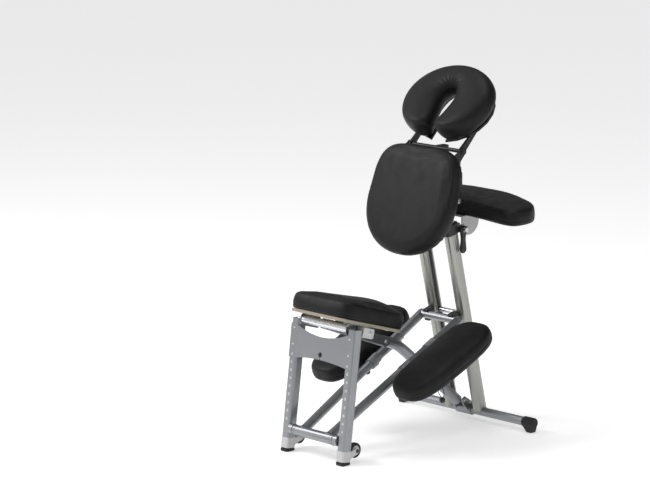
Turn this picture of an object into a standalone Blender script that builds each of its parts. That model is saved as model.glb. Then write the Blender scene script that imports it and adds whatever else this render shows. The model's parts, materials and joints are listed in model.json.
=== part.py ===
"""Folding kneeling massage chair as an assembly of separate parts (metres, +Z up).

Origin: on the floor at the centre of the footprint box.  +X is the right hand side of the
chair, +Y runs from the leg frame to the posts, the client faces +Y.  The dimensions below
count Y from the front feet; main() then shifts the whole chair by FOOTPRINT_Y.
"""
import math

import bmesh
import bpy
from mathutils import Matrix, Vector

GAP = 0.0003
FOOTPRINT_Y = 0.398
ROUND = 20

# rear frame
POST_X = 0.0618
POST_LEAN = math.radians(13.5)
POST_W = 0.036
POST_D = 0.046
POST_TOP = 0.630
POST_BORE_W = 0.0282
POST_BORE_D = 0.0382
POST_BORE_END = 0.400
BASE_Y = 0.6925
BASE_Z = 0.030
BASE_R = 0.0145
BASE_HALF = 0.2477
CAP_LENGTH = 0.045
CAP_R = 0.0175
CAP_FOOT_LENGTH = 0.022
TRACK_W = 0.012
TRACK_T = 0.002
ROD_R = 0.008
COLLAR_W = 0.046
COLLAR_D = 0.057
COLLAR_H = 0.036

# fold axes, as (y, z)
FOLD_A = (0.566, 0.3505)
FOLD_D = (0.004, 0.072)
FOLD_C = (0.05506, 0.41203)
FOLD_P = (0.298, 0.3185)

# knee frame
BEAM_R = 0.0146
BEAM_X_LOW = 0.055
BEAM_X_TOP = 0.079
TOP_TUBE_R = 0.0135
SLEEVE_R = 0.0165
SLEEVE_HALF = 0.076
SHAFT_R = 0.012

# leg frame
LEG_X = 0.120
LEG_LEAN = math.radians(-7.8)
LEG_FOOT_Y = 0.004
LEG_W = 0.031
LEG_D = 0.035
LEG_TOP = 0.416
LEG_BOTTOM = 0.0435
LEG_BORE_W = 0.0250
LEG_BORE_D = 0.0290
HOLE_PITCH = 0.0254
HOLE_COUNT = 8
HOLE_TOP = 0.2795
HOLE_R = 0.0031
PANEL_HALF = 0.1335
PANEL_BOTTOM = 0.294
PANEL_TOP = 0.400
PANEL_T = 0.002
PANEL_DIP = 0.026
PANEL_ARCH = 0.010
KEYHOLE_R = 0.008

# inner legs, castings and wheels
INNER_W = 0.0240
INNER_D = 0.0280
INNER_TOP = 0.330
CASTING_H = 0.033
TIP_H = 0.0105
WHEEL_Y = 0.0530
WHEEL_Z = 0.0370
WHEEL_R = 0.0238
WHEEL_W = 0.0170
HUB_R = 0.0160
AXLE_R = 0.0032
CHEEK_T = 0.004

# seat and its arm
SEAT_TILT = math.radians(-17.0)
SEAT_ORIGIN = (0.031, 0.438)
SEAT_HALF = 0.1315
SEAT_LENGTH = 0.2846
SEAT_MIDDLE = 0.1156
SEAT_BOARD_T = 0.010
SEAT_CUSHION_T = 0.058
SEAT_TUBE_S = 0.0306
SEAT_TUBE_N = -0.0178
SEAT_TUBE_R = 0.0130
SEAT_TUBE_HALF = 0.0955
PLATE_T = 0.0025
PLATE_X = 0.0985
SEAT_PIN_R = 0.0050
SUPPORT_W = 0.044
SUPPORT_H = 0.032
SLOT_LENGTH = 0.034
ARM_CHEEK_GAP = 0.0005
ARM_R = 0.0172
ARM_PATH = (FOLD_P, (0.322, 0.3115), (0.352, 0.3010), (0.381, 0.2840), (0.408, 0.2635), (0.650, 0.0630))

# knee pads
BEAM_SLOPE = math.atan2(FOLD_A[1] - FOLD_D[1], FOLD_A[0] - FOLD_D[0])
PAD_X = 0.1765
PAD_HALF_W = 0.0840
PAD_S = 0.430
PAD_N = 0.008
PAD_SLOPE = math.radians(22.9)
PAD_HALF_L = 0.1955
PAD_T = 0.0555
BRACKET_T = 0.005
BRACKET_X = 0.1430
BRACKET_W = 0.128
BRACKET_L = 0.170
CLAMP_R = 0.0175
CLAMP_OFFSET = 0.060
LUG_W = 0.020
LUG_TOP = -0.012
PULL_PIN_X = 0.125
PULL_PIN_BACK = -0.050
PULL_PIN_L = 0.022

# upper assembly
YOKE = (0.5275, 0.744)
YOKE_R = 0.0125
YOKE_HALF = 0.1075
YOKE_PIN_R = 0.0050
SOCKET_DROP = 0.046
CARRIER_X = 0.030
SIDE_PLATE_X = 0.1125
SIDE_PLATE_T = 0.004
LEVER_PIVOT = (0.0925, 0.645)
LEVER_Y = 0.5720
EAR_X = 0.0728
EAR_W = 0.0240
EAR_L = 0.0300
EAR_H = 0.0160
EAR_Z = 0.6458
LUG_AWAY = 0.0138
LEVER_T = 0.0115
LEVER_W = 0.0220
LEVER_L = 0.0820
CHEST_LEAN = math.radians(-18.8)
CHEST_W = 0.351
CHEST_H = 0.3476
CHEST_TAPER = 0.055
CHEST_POWER = 4.2
CHEST_POWER_LOW = 2.2
CHEST_T = 0.046
CHEST_BOARD_T = 0.007
CHEST_CENTRE = (0.4088, 0.7538)
ARMREST_Y = 0.714
ARMREST_Z = 0.706
ARMREST_HALF = 0.300
ARMREST_W = 0.192
ARMREST_T = 0.057
ARMREST_BEND = 0.97
ARMREST_PIVOT = (0.612, 0.643)
CRADLE_HINGE = (0.547, 0.8976)
CRADLE_SHAFT_R = 0.0065
CRADLE_SLOPE = math.radians(45.0)
CRADLE_CENTRE = (0.6032, 1.0328)
FACE_W = 0.346
FACE_L = 0.275
FACE_T = 0.087
FACE_HOLE_W = 0.100
FACE_HOLE_L = 0.130
FACE_GAP = 0.040
CRADLE_BOARD_T = 0.008


def clear_scene():
    for obj in list(bpy.data.objects):
        bpy.data.objects.remove(obj, do_unlink=True)


def new_material(name, colour, roughness, metallic):
    mat = bpy.data.materials.new(name)
    mat.use_nodes = True
    shader = mat.node_tree.nodes["Principled BSDF"]
    shader.inputs["Base Color"].default_value = (*colour, 1.0)
    shader.inputs["Roughness"].default_value = roughness
    shader.inputs["Metallic"].default_value = metallic
    return mat


def link(obj):
    PARTS.objects.link(obj)
    return obj


def from_bmesh(bm, name):
    mesh = bpy.data.meshes.new(name)
    bm.to_mesh(mesh)
    bm.free()
    return link(bpy.data.objects.new(name, mesh))


def round_edges(bm, edges, amount, segments):
    if amount > 0.0:
        bmesh.ops.bevel(bm, geom=edges, offset=amount, segments=segments,
                        affect="EDGES", profile=0.5)


def along_axis(edge, axis):
    span = (edge.verts[0].co - edge.verts[1].co).normalized()
    return abs(span[axis]) > 0.999


def box(name, size, loc=(0.0, 0.0, 0.0), radius=0.0, axis=None, segments=2):
    """Box of the given size; edges along one axis (or all edges) are rounded."""
    bm = bmesh.new()
    bmesh.ops.create_cube(bm, size=1.0)
    bmesh.ops.scale(bm, vec=size, verts=bm.verts)
    edges = [e for e in bm.edges if axis is None or along_axis(e, axis)]
    round_edges(bm, edges, radius, segments)
    obj = from_bmesh(bm, name)
    obj.location = loc
    return obj


def cylinder(name, radius, length, axis, loc=(0.0, 0.0, 0.0), rim=0.0, steps=ROUND, end_radius=None):
    """Cylinder (or cone) centred on loc along one world axis, with rounded rims."""
    bm = bmesh.new()
    top = radius if end_radius is None else end_radius
    bmesh.ops.create_cone(bm, cap_ends=True, cap_tris=False, segments=steps,
                          radius1=radius, radius2=top, depth=length)
    caps = [e for e in bm.edges if abs(e.verts[0].co.z - e.verts[1].co.z) < length * 0.1]
    round_edges(bm, caps, rim, 2)
    turn = {"X": Matrix.Rotation(math.pi / 2, 4, "Y"), "Y": Matrix.Rotation(-math.pi / 2, 4, "X"),
            "Z": Matrix.Identity(4)}[axis]
    bmesh.ops.transform(bm, matrix=turn, verts=bm.verts)
    obj = from_bmesh(bm, name)
    obj.location = loc
    return obj


def ball(name, radius, loc, scale=(1.0, 1.0, 1.0)):
    bm = bmesh.new()
    bmesh.ops.create_uvsphere(bm, u_segments=20, v_segments=12, radius=radius)
    bmesh.ops.scale(bm, vec=scale, verts=bm.verts)
    obj = from_bmesh(bm, name)
    obj.location = loc
    return obj


def prism(name, outline, depth, plane, loc=(0.0, 0.0, 0.0), radius=0.0, segments=2):
    """Flat outline (list of 2D points) given a thickness centred on loc; its rims are rounded.

    plane "YZ" puts the outline in y and z with the thickness along x, and so on.
    """
    bm = bmesh.new()
    verts = [bm.verts.new((u, v, -depth / 2)) for u, v in outline]
    face = bm.faces.new(verts)
    grown = bmesh.ops.extrude_face_region(bm, geom=[face])
    lifted = [g for g in grown["geom"] if isinstance(g, bmesh.types.BMVert)]
    bmesh.ops.translate(bm, vec=(0.0, 0.0, depth), verts=lifted)
    bmesh.ops.recalc_face_normals(bm, faces=bm.faces)
    rims = [e for e in bm.edges if abs(e.verts[0].co.z - e.verts[1].co.z) < depth * 0.1]
    round_edges(bm, rims, radius, segments)
    rows = {"XY": ((1, 0, 0), (0, 1, 0), (0, 0, 1)), "YZ": ((0, 0, 1), (1, 0, 0), (0, 1, 0)),
            "XZ": ((1, 0, 0), (0, 0, -1), (0, 1, 0))}[plane]
    bmesh.ops.transform(bm, matrix=Matrix(rows).to_4x4(), verts=bm.verts)
    bmesh.ops.recalc_face_normals(bm, faces=bm.faces)
    obj = from_bmesh(bm, name)
    obj.location = loc
    return obj


def tube(name, points, radius, resolution=4):
    """Round bar along a list of points with closed ends."""
    curve = bpy.data.curves.new(name, "CURVE")
    curve.dimensions = "3D"
    curve.bevel_depth = radius
    curve.bevel_resolution = resolution
    curve.use_fill_caps = True
    spline = curve.splines.new("POLY")
    spline.points.add(len(points) - 1)
    for target, point in zip(spline.points, points):
        target.co = (*point, 1.0)
    holder = link(bpy.data.objects.new(name + "_path", curve))
    bpy.context.view_layer.update()
    solid = holder.evaluated_get(bpy.context.evaluated_depsgraph_get())
    mesh = bpy.data.meshes.new_from_object(solid)
    bm = bmesh.new()
    bm.from_mesh(mesh)
    bmesh.ops.remove_doubles(bm, verts=bm.verts, dist=0.00001)
    bmesh.ops.recalc_face_normals(bm, faces=bm.faces)
    bm.to_mesh(mesh)
    bm.free()
    bpy.data.objects.remove(holder, do_unlink=True)
    return link(bpy.data.objects.new(name, mesh))


def combine(target, tools, operation):
    """Join, cut or intersect the target with the tools, which are used up."""
    for tool in tools:
        modifier = target.modifiers.new(operation.lower(), "BOOLEAN")
        modifier.operation = operation
        modifier.solver = "EXACT"
        modifier.object = tool
        bpy.context.view_layer.update()
        shaped = target.evaluated_get(bpy.context.evaluated_depsgraph_get())
        mesh = bpy.data.meshes.new_from_object(shaped)
        target.modifiers.clear()
        target.data = mesh
        bpy.data.objects.remove(tool, do_unlink=True)
    bm = bmesh.new()
    bm.from_mesh(target.data)
    bmesh.ops.remove_doubles(bm, verts=bm.verts, dist=0.00002)
    bmesh.ops.dissolve_degenerate(bm, edges=bm.edges, dist=0.00002)
    bmesh.ops.recalc_face_normals(bm, faces=bm.faces)
    bm.to_mesh(target.data)
    bm.free()
    target.data.name = target.name
    return target


def join(target, *tools):
    return combine(target, tools, "UNION")


def cut(target, *tools):
    return combine(target, tools, "DIFFERENCE")


def finish(obj, mat, body, smooth=True):
    """Give a piece its material, shading and the empty that carries it."""
    obj.data.materials.clear()
    obj.data.materials.append(mat)
    for poly in obj.data.polygons:
        poly.use_smooth = False
    if smooth:
        obj.data.shade_smooth()
        obj.data.set_sharp_from_angle(angle=math.radians(38.0))
    bpy.context.view_layer.update()
    placed = obj.matrix_world.copy()
    obj.parent = body
    obj.matrix_parent_inverse = Matrix.Identity(4)
    obj.matrix_basis = Matrix.Translation(-WORLD[body.name]) @ placed
    return obj


def empty(name, loc, parent=None):
    """Carrier standing on a joint's axis."""
    obj = bpy.data.objects.new(name, None)
    obj.empty_display_size = 0.03
    WORLD[name] = Vector(loc)
    obj.parent = parent
    obj.location = WORLD[name] - (WORLD[parent.name] if parent else Vector())
    return link(obj)


def tilt(obj, angle, origin, local):
    """Place a piece at local coordinates of a frame turned about X and standing at (y, z) origin."""
    turn = Matrix.Rotation(angle, 3, "X")
    obj.location = Vector((0.0, *origin)) + turn @ Vector(local)
    obj.rotation_euler = (angle, 0.0, 0.0)
    return obj


def arc(centre, radius, start, end, count):
    """Points on a circle from one angle to another (degrees)."""
    step = (end - start) / (count - 1)
    angles = [math.radians(start + step * i) for i in range(count)]
    return [(centre[0] + radius * math.cos(a), centre[1] + radius * math.sin(a)) for a in angles]


def stadium(half_u, half_v, count=10):
    """Oval outline: a rectangle with half-round ends along its long side."""
    r = min(half_u, half_v)
    if half_u >= half_v:
        c = half_u - r
        return arc((c, 0.0), r, -90, 90, count) + arc((-c, 0.0), r, 90, 270, count)
    c = half_v - r
    return arc((0.0, c), r, 0, 180, count) + arc((0.0, -c), r, 180, 360, count)


def superoval(half_u, half_v, power, count=36, taper=0.0, power_low=None):
    """Rounded outline between an ellipse and a rectangle.

    The upper half narrows towards its end by taper, and the lower half can have its own power."""
    points = []
    for i in range(count):
        a = 2 * math.pi * i / count
        cu = math.cos(a)
        sv = math.sin(a)
        bend = power_low if power_low and sv < 0 else power
        u = half_u * math.copysign(abs(cu) ** (2.0 / bend), cu)
        v = half_v * math.copysign(abs(sv) ** (2.0 / bend), sv)
        points.append((u * (1.0 - taper * max(0.0, v / half_v) ** 1.2), v))
    return points


def beam_point(sign, s):
    """Point on a beam's axis at distance s from the lower hinge."""
    low = Vector((sign * BEAM_X_LOW, *FOLD_D))
    high = Vector((sign * BEAM_X_TOP, *FOLD_A))
    return low.lerp(high, s / (high - low).length)


def post_point(s):
    """Point (y, z) on the post axis at distance s above the base bar axis."""
    return (BASE_Y - math.sin(POST_LEAN) * s, BASE_Z + math.cos(POST_LEAN) * s)


def post_s(z):
    return (z - BASE_Z) / math.cos(POST_LEAN)


def in_post(obj, x, offset_y, s):
    return tilt(obj, POST_LEAN, (BASE_Y, BASE_Z), (x, offset_y, s))


def in_leg(obj, x, offset_y, s):
    return tilt(obj, LEG_LEAN, (LEG_FOOT_Y, 0.0), (x, offset_y, s))


def leg_point(offset_y, s):
    return (LEG_FOOT_Y + math.cos(LEG_LEAN) * offset_y - math.sin(LEG_LEAN) * s,
            math.sin(LEG_LEAN) * offset_y + math.cos(LEG_LEAN) * s)


def in_seat(obj, x, s, n):
    return tilt(obj, SEAT_TILT, SEAT_ORIGIN, (x, s, n))


def in_beam(obj, x, s, n):
    return tilt(obj, BEAM_SLOPE, FOLD_D, (x, s, n))


def in_chest(obj, x, depth, height):
    return tilt(obj, CHEST_LEAN, CHEST_CENTRE, (x, depth, height))


def build_rear_frame(body):
    bar = cylinder("base_bar", BASE_R, 2 * BASE_HALF, "X", (0.0, BASE_Y, BASE_Z))
    finish(bar, SILVER, body)
    top_s = post_s(POST_TOP)
    bore_s = post_s(POST_BORE_END)
    for side, sign in SIDES:
        post = prism(side + "_post", stadium(POST_W / 2, POST_D / 2), top_s, "XY")
        in_post(post, sign * POST_X, 0.0, top_s / 2)
        cope = cylinder("cope", BASE_R + GAP, 0.08, "X", (sign * POST_X, BASE_Y, BASE_Z))
        bore = prism("bore", stadium(POST_BORE_W / 2, POST_BORE_D / 2), top_s - bore_s + 0.01, "XY")
        in_post(bore, sign * POST_X, 0.0, (top_s + bore_s + 0.01) / 2)
        cut(post, cope, bore)
        finish(post, POST_PAINT, body)

        track = box(side + "_post_track", (TRACK_T, TRACK_W, top_s - 0.08), axis=2, radius=0.0006)
        in_post(track, sign * (POST_X - POST_W / 2 - TRACK_T / 2 - GAP), 0.0, top_s / 2 + 0.01)
        finish(track, BLACK_PLASTIC, body)

        cap_x = sign * (BASE_HALF + GAP + CAP_LENGTH / 2)
        cap = cylinder(side + "_base_cap", CAP_R, CAP_LENGTH, "X", (cap_x, BASE_Y, BASE_Z), rim=0.004)
        reach = CAP_LENGTH / 2 - 0.0017
        foot_outline = [(-reach, -0.0113), (-0.0027, -BASE_Z), (0.016, -BASE_Z), (reach, -0.016),
                        (reach - 0.003, 0.0),
                        (-reach + 0.004, 0.0)]
        foot = prism("foot", [(sign * u, v) for u, v in foot_outline], CAP_FOOT_LENGTH, "XZ",
                     (cap_x, BASE_Y, BASE_Z))
        join(cap, foot)
        finish(cap, RUBBER, body)

        bracket = box(side + "_fold_bracket", (0.018, 0.0330, 0.040), radius=0.004, axis=0)
        reach_y = post_offset(FOLD_A)
        in_post(bracket, sign * 0.0530, -POST_D / 2 - GAP - 0.0330 / 2, reach_y[1])
        cut(bracket, cylinder("bore", TOP_TUBE_R + 0.0004, 0.05, "X", (sign * 0.0530, *FOLD_A)))
        finish(bracket, BLACK_PLASTIC, body)

        collar = prism(side + "_post_collar", superoval(COLLAR_W / 2, COLLAR_D / 2, 3.0, 20), COLLAR_H,
                       "XY", radius=0.003)
        in_post(collar, sign * POST_X, -0.003, top_s + GAP + COLLAR_H / 2)
        bore = prism("bore", stadium(POST_BORE_W / 2, POST_BORE_D / 2), COLLAR_H + 0.02, "XY")
        in_post(bore, sign * POST_X, 0.0, top_s + COLLAR_H / 2)
        ear = box("ear", (EAR_W, EAR_L, EAR_H), (sign * EAR_X, LEVER_Y, EAR_Z), radius=0.003)
        lug_x = sign * (LEVER_PIVOT[0] - 0.003)
        lugs = [box("lug", (0.016, 0.004, 0.016), (lug_x, LEVER_Y + away * LUG_AWAY, LEVER_PIVOT[1]),
                    radius=0.0015) for away in (-1, 1)]
        join(collar, ear, *lugs)
        cut(collar, bore)
        finish(collar, BLACK_PLASTIC, body)

    rod_half = POST_X - POST_W / 2 - TRACK_T - 2 * GAP
    rod = cylinder("post_cross_rod", ROD_R, 2 * rod_half, "X", (0.0, *post_point(post_s(0.362))),
                   rim=0.0008)
    finish(rod, ALUMINIUM, body)

    clevis = cylinder("arm_clevis", 0.0190, 0.062, "X", (0.0, BASE_Y, BASE_Z))
    cheek_outline = [(-0.012, -0.008), (0.008, -0.010), (0.011, 0.008), (-0.006, 0.030), (-0.034, 0.048),
                     (-0.048, 0.040), (-0.040, 0.020)]
    cheeks = [prism("cheek", cheek_outline, 0.005, "YZ", (sign * 0.0250, BASE_Y, BASE_Z))
              for sign in (-1, 1)]
    join(clevis, *cheeks)
    cut(clevis, cylinder("bore", BASE_R + GAP, 0.09, "X", (0.0, BASE_Y, BASE_Z), steps=28))
    finish(clevis, SILVER, body)


def post_offset(point):
    """Distances (across, along) from the post axis origin to a point (y, z)."""
    dy = point[0] - BASE_Y
    dz = point[1] - BASE_Z
    return (dy * math.cos(POST_LEAN) + dz * math.sin(POST_LEAN),
            -dy * math.sin(POST_LEAN) + dz * math.cos(POST_LEAN))


def build_knee_frame(body):
    start = Vector((-BEAM_X_LOW, *FOLD_D))
    end = Vector((-BEAM_X_TOP, *FOLD_A))
    near = start.lerp(end, 0.022)
    frame = tube("knee_frame", [near, end], BEAM_R)
    mirror = Vector((-1.0, 1.0, 1.0))
    other = tube("beam", [near * mirror, end * mirror], BEAM_R)
    sleeve = cylinder("sleeve", SLEEVE_R, 2 * SLEEVE_HALF, "X", (0.0, *FOLD_D))
    top = cylinder("top_tube", TOP_TUBE_R, 2 * BEAM_X_TOP, "X", (0.0, *FOLD_A))
    ends = [ball("end", BEAM_R, (sign * BEAM_X_TOP, *FOLD_A)) for sign in (-1, 1)]
    join(frame, sleeve, other, top, *ends)
    cut(frame, cylinder("bore", SHAFT_R + 0.0004, 0.2, "X", (0.0, *FOLD_D)))
    finish(frame, SILVER, body)


def build_leg_frame(body):
    length = LEG_TOP - LEG_BOTTOM
    for side, sign in SIDES:
        leg = box(side + "_leg_tube", (LEG_W, LEG_D, length), radius=0.007, axis=2, segments=3)
        in_leg(leg, sign * LEG_X, 0.0, LEG_BOTTOM + length / 2)
        bore_length = INNER_TOP + 0.006 - LEG_BOTTOM
        bore = box("bore", (LEG_BORE_W, LEG_BORE_D, bore_length + 0.01), radius=0.004, axis=2)
        in_leg(bore, sign * LEG_X, 0.0, LEG_BOTTOM + bore_length / 2 - 0.005)
        holes = []
        for i in range(HOLE_COUNT):
            hole = cylinder("hole", HOLE_R, 0.012, "Y", steps=12)
            in_leg(hole, sign * LEG_X, -LEG_D / 2, HOLE_TOP - i * HOLE_PITCH)
            holes.append(hole)
        pin_hole = cylinder("hole", SEAT_PIN_R + GAP, LEG_W, "X", (sign * (LEG_X - 0.006), *FOLD_C),
                            steps=16)
        cut(leg, bore, pin_hole, *holes)
        finish(leg, SILVER, body)

        ear = box(side + "_hinge_block", (0.030, 0.048, 0.031), radius=0.006, axis=0)
        in_seat(ear, sign * LEG_X, 0.0800, -0.0196)
        wedge = box("wedge", (0.05, 0.05, 0.10))
        in_leg(wedge, sign * LEG_X, LEG_D / 2 + GAP - 0.025, LEG_TOP - 0.02)
        cut(ear, wedge)
        finish(ear, CASTING, body)

    shaft_y, shaft_z = FOLD_D
    inner = LEG_X - LEG_W / 2 - GAP
    shaft = cylinder("leg_cross_shaft", SHAFT_R, 2 * inner, "X", (0.0, shaft_y, shaft_z))
    collar_length = inner - SLEEVE_HALF - 0.0008
    for sign in (-1, 1):
        ring = cylinder("ring", SLEEVE_R, collar_length, "X",
                        (sign * (inner - collar_length / 2), shaft_y, shaft_z))
        join(shaft, ring)
    finish(shaft, SILVER, body)

    height = PANEL_TOP - PANEL_BOTTOM
    middle = (PANEL_TOP + PANEL_BOTTOM) / 2
    steps = 10
    top_edge = []
    bottom_edge = []
    for i in range(steps + 1):
        t = -1.0 + 2.0 * i / steps
        flat = max(0.0, 1.0 - (t / 0.86) ** 2)
        top_edge.append((t * PANEL_HALF, height / 2 - PANEL_DIP * flat))
        bottom_edge.append((t * PANEL_HALF, -height / 2 + PANEL_ARCH * flat))
    panel = prism("front_panel", top_edge[::-1] + bottom_edge, PANEL_T, "XZ")
    in_leg(panel, 0.0, -LEG_D / 2 - GAP - PANEL_T / 2, middle)
    key = cylinder("key", KEYHOLE_R, 0.02, "Y", steps=20)
    in_leg(key, 0.0, -LEG_D / 2, PANEL_BOTTOM + 0.026)
    slit = box("slit", (0.003, 0.02, 0.03))
    in_leg(slit, 0.0, -LEG_D / 2, PANEL_BOTTOM + 0.008)
    cut(panel, key, slit)
    finish(panel, SILVER, body, smooth=False)


def build_foot(side, sign, body, wheel_body, button_body):
    inner_length = INNER_TOP - LEG_BOTTOM - GAP
    inner = box(side + "_inner_leg", (INNER_W, INNER_D, inner_length), radius=0.0035, axis=2)
    in_leg(inner, sign * LEG_X, 0.0, LEG_BOTTOM + GAP + inner_length / 2)
    pocket = cylinder("pocket", HOLE_R, 0.018, "Y", steps=12)
    in_leg(pocket, sign * LEG_X, -INNER_D / 2, HOLE_TOP)
    cut(inner, pocket)
    finish(inner, ALUMINIUM, body)

    casting_top = LEG_BOTTOM - GAP
    casting = box(side + "_foot_casting", (LEG_W + 0.001, LEG_D + 0.001, CASTING_H), radius=0.006, axis=2)
    in_leg(casting, sign * LEG_X, 0.0, casting_top - CASTING_H / 2)
    for cheek_side in (-1, 1):
        cheek_x = sign * LEG_X + cheek_side * (WHEEL_W / 2 + 0.0015 + CHEEK_T / 2)
        heel_y, heel_z = leg_point(0.012, casting_top - CASTING_H + 0.006)
        crown_y, crown_z = leg_point(0.012, casting_top - 0.003)
        nose = arc((WHEEL_Y, WHEEL_Z), 0.0095, -50, 95, 8)
        cheek = prism("cheek", [(heel_y, heel_z), *nose, (crown_y, crown_z)], CHEEK_T, "YZ", (cheek_x,
                                                                                              0.0, 0.0))
        join(casting, cheek)
    cut(casting, cylinder("axle", AXLE_R + 0.0002, 0.06, "X", (sign * LEG_X, WHEEL_Y, WHEEL_Z), steps=16),
        cylinder("well", WHEEL_R + 0.0015, WHEEL_W + 0.003, "X", (sign * LEG_X, WHEEL_Y, WHEEL_Z)))
    finish(casting, CASTING, body)

    tip = prism(side + "_foot_tip", superoval(0.0175, 0.0190, 4.0, 24), TIP_H - GAP, "XY", radius=0.0025)
    tip.location = (sign * LEG_X, LEG_FOOT_Y + 0.0010, (TIP_H - GAP) / 2)
    trim = box("trim", (0.06, 0.06, 0.03))
    in_leg(trim, sign * LEG_X, 0.0, casting_top - CASTING_H - GAP + 0.015)
    cut(tip, trim)
    finish(tip, RUBBER, body)

    axle = cylinder(side + "_wheel_axle", AXLE_R, 0.0285, "X", (sign * LEG_X, WHEEL_Y, WHEEL_Z), steps=16)
    head_x = sign * (LEG_X + 0.0140 + 0.0012)
    join(axle, cylinder("head", 0.0062, 0.0024, "X", (head_x, WHEEL_Y, WHEEL_Z), rim=0.0008, steps=16))
    finish(axle, BLACK_PLASTIC, body)

    tyre = cylinder(side + "_wheel_tyre", WHEEL_R, WHEEL_W, "X", (sign * LEG_X, WHEEL_Y, WHEEL_Z),
                    rim=0.004)
    cut(tyre, cylinder("seat", HUB_R, 0.03, "X", (sign * LEG_X, WHEEL_Y, WHEEL_Z)))
    finish(tyre, RUBBER, wheel_body)
    hub = cylinder(side + "_wheel_hub", HUB_R - GAP, WHEEL_W - 0.001, "X", (sign * LEG_X, WHEEL_Y, WHEEL_Z),
                   rim=0.0012)
    cut(hub, cylinder("bore", AXLE_R + 0.0004, 0.03, "X", (sign * LEG_X, WHEEL_Y, WHEEL_Z), steps=16))
    finish(hub, CASTING, wheel_body)

    button = cylinder(side + "_snap_button", HOLE_R - 0.0003, 0.0065, "Y", steps=12, rim=0.0008)
    in_leg(button, sign * LEG_X, -LEG_D / 2 - 0.0015 + 0.0065 / 2, HOLE_TOP)
    finish(button, STEEL, button_body)


def build_seat(body):
    slope = Matrix.Rotation(SEAT_TILT, 3, "X")

    def seat_world(s, n):
        return Vector((0.0, *SEAT_ORIGIN)) + slope @ Vector((0.0, s, n))

    tube_at = seat_world(SEAT_TUBE_S, SEAT_TUBE_N)
    cross = cylinder("seat_cross_tube", SEAT_TUBE_R, 2 * SEAT_TUBE_HALF, "X", tube_at, rim=0.001)
    finish(cross, ALUMINIUM, body)

    pivot = Vector((0.0, *FOLD_P))
    reach = pivot - tube_at
    slope_angle = math.atan2(reach.z, reach.y)
    support = box("seat_support", (SUPPORT_W, reach.length, SUPPORT_H), radius=0.004, axis=1)
    tilt(support, slope_angle, FOLD_C, (0.0, reach.length / 2, 0.0))
    nose = cylinder("nose", SUPPORT_H / 2 - 0.0002, SUPPORT_W, "X", pivot)
    tabs = [in_seat(box("tab", (0.036, 0.030, 0.020), radius=0.002, axis=2), 0.0, s, -0.0103)
            for s in (0.100, 0.195)]
    join(support, nose, *tabs)
    slot = box("slot", (2 * (ARM_R + ARM_CHEEK_GAP), SLOT_LENGTH + 0.03, 0.06))
    tilt(slot, slope_angle, FOLD_P, (0.0, 0.03 - (SLOT_LENGTH + 0.03) / 2, 0.0))
    cut(support, slot, cylinder("cope", SEAT_TUBE_R + GAP, 0.08, "X", tube_at),
        cylinder("bore", 0.0053, 0.08, "X", pivot, steps=16))
    finish(support, SILVER, body)

    for side, sign in SIDES:
        plate = box(side + "_seat_plate", (PLATE_T, 0.0884, 0.037), radius=0.008, axis=0)
        in_seat(plate, sign * PLATE_X, 0.0618, -0.0188)
        pin = cylinder("pin", SEAT_PIN_R, 0.0220, "X", (sign * (PLATE_X + 0.0110), *FOLD_C), steps=16)
        join(plate, pin)
        finish(plate, SILVER, body)

    board = prism("seat_board", superoval(SEAT_HALF - 0.003, SEAT_LENGTH / 2 - 0.003, 7.0, 28),
                  SEAT_BOARD_T, "XY",
                  radius=0.002)
    in_seat(board, 0.0, SEAT_MIDDLE, SEAT_BOARD_T / 2)
    finish(board, BOARD, body)
    cushion = prism("seat_cushion", superoval(SEAT_HALF, SEAT_LENGTH / 2, 6.0, 28), SEAT_CUSHION_T, "XY",
                    radius=0.012)
    in_seat(cushion, 0.0, SEAT_MIDDLE, SEAT_BOARD_T + GAP + SEAT_CUSHION_T / 2)
    finish(cushion, VINYL, body)


def build_arm(body):
    path = [Vector((0.0, *point)) for point in ARM_PATH]
    arm = tube("curved_arm", path, ARM_R)
    boss = cylinder("boss", ARM_R - 0.0001, 2 * ARM_R, "X", (0.0, *FOLD_P))
    pin = cylinder("pin", 0.0050, SUPPORT_W + 0.006, "X", (0.0, *FOLD_P), steps=16)
    join(arm, boss, pin)
    finish(arm, SILVER, body)


def in_pad(obj, x, along, normal):
    """Place a piece in the frame of a knee pad, which lies a little flatter than its beam."""
    middle = (FOLD_D[0] + math.cos(BEAM_SLOPE) * PAD_S - math.sin(BEAM_SLOPE) * PAD_N,
              FOLD_D[1] + math.sin(BEAM_SLOPE) * PAD_S + math.cos(BEAM_SLOPE) * PAD_N)
    return tilt(obj, PAD_SLOPE, middle, (x, along, normal))


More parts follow.
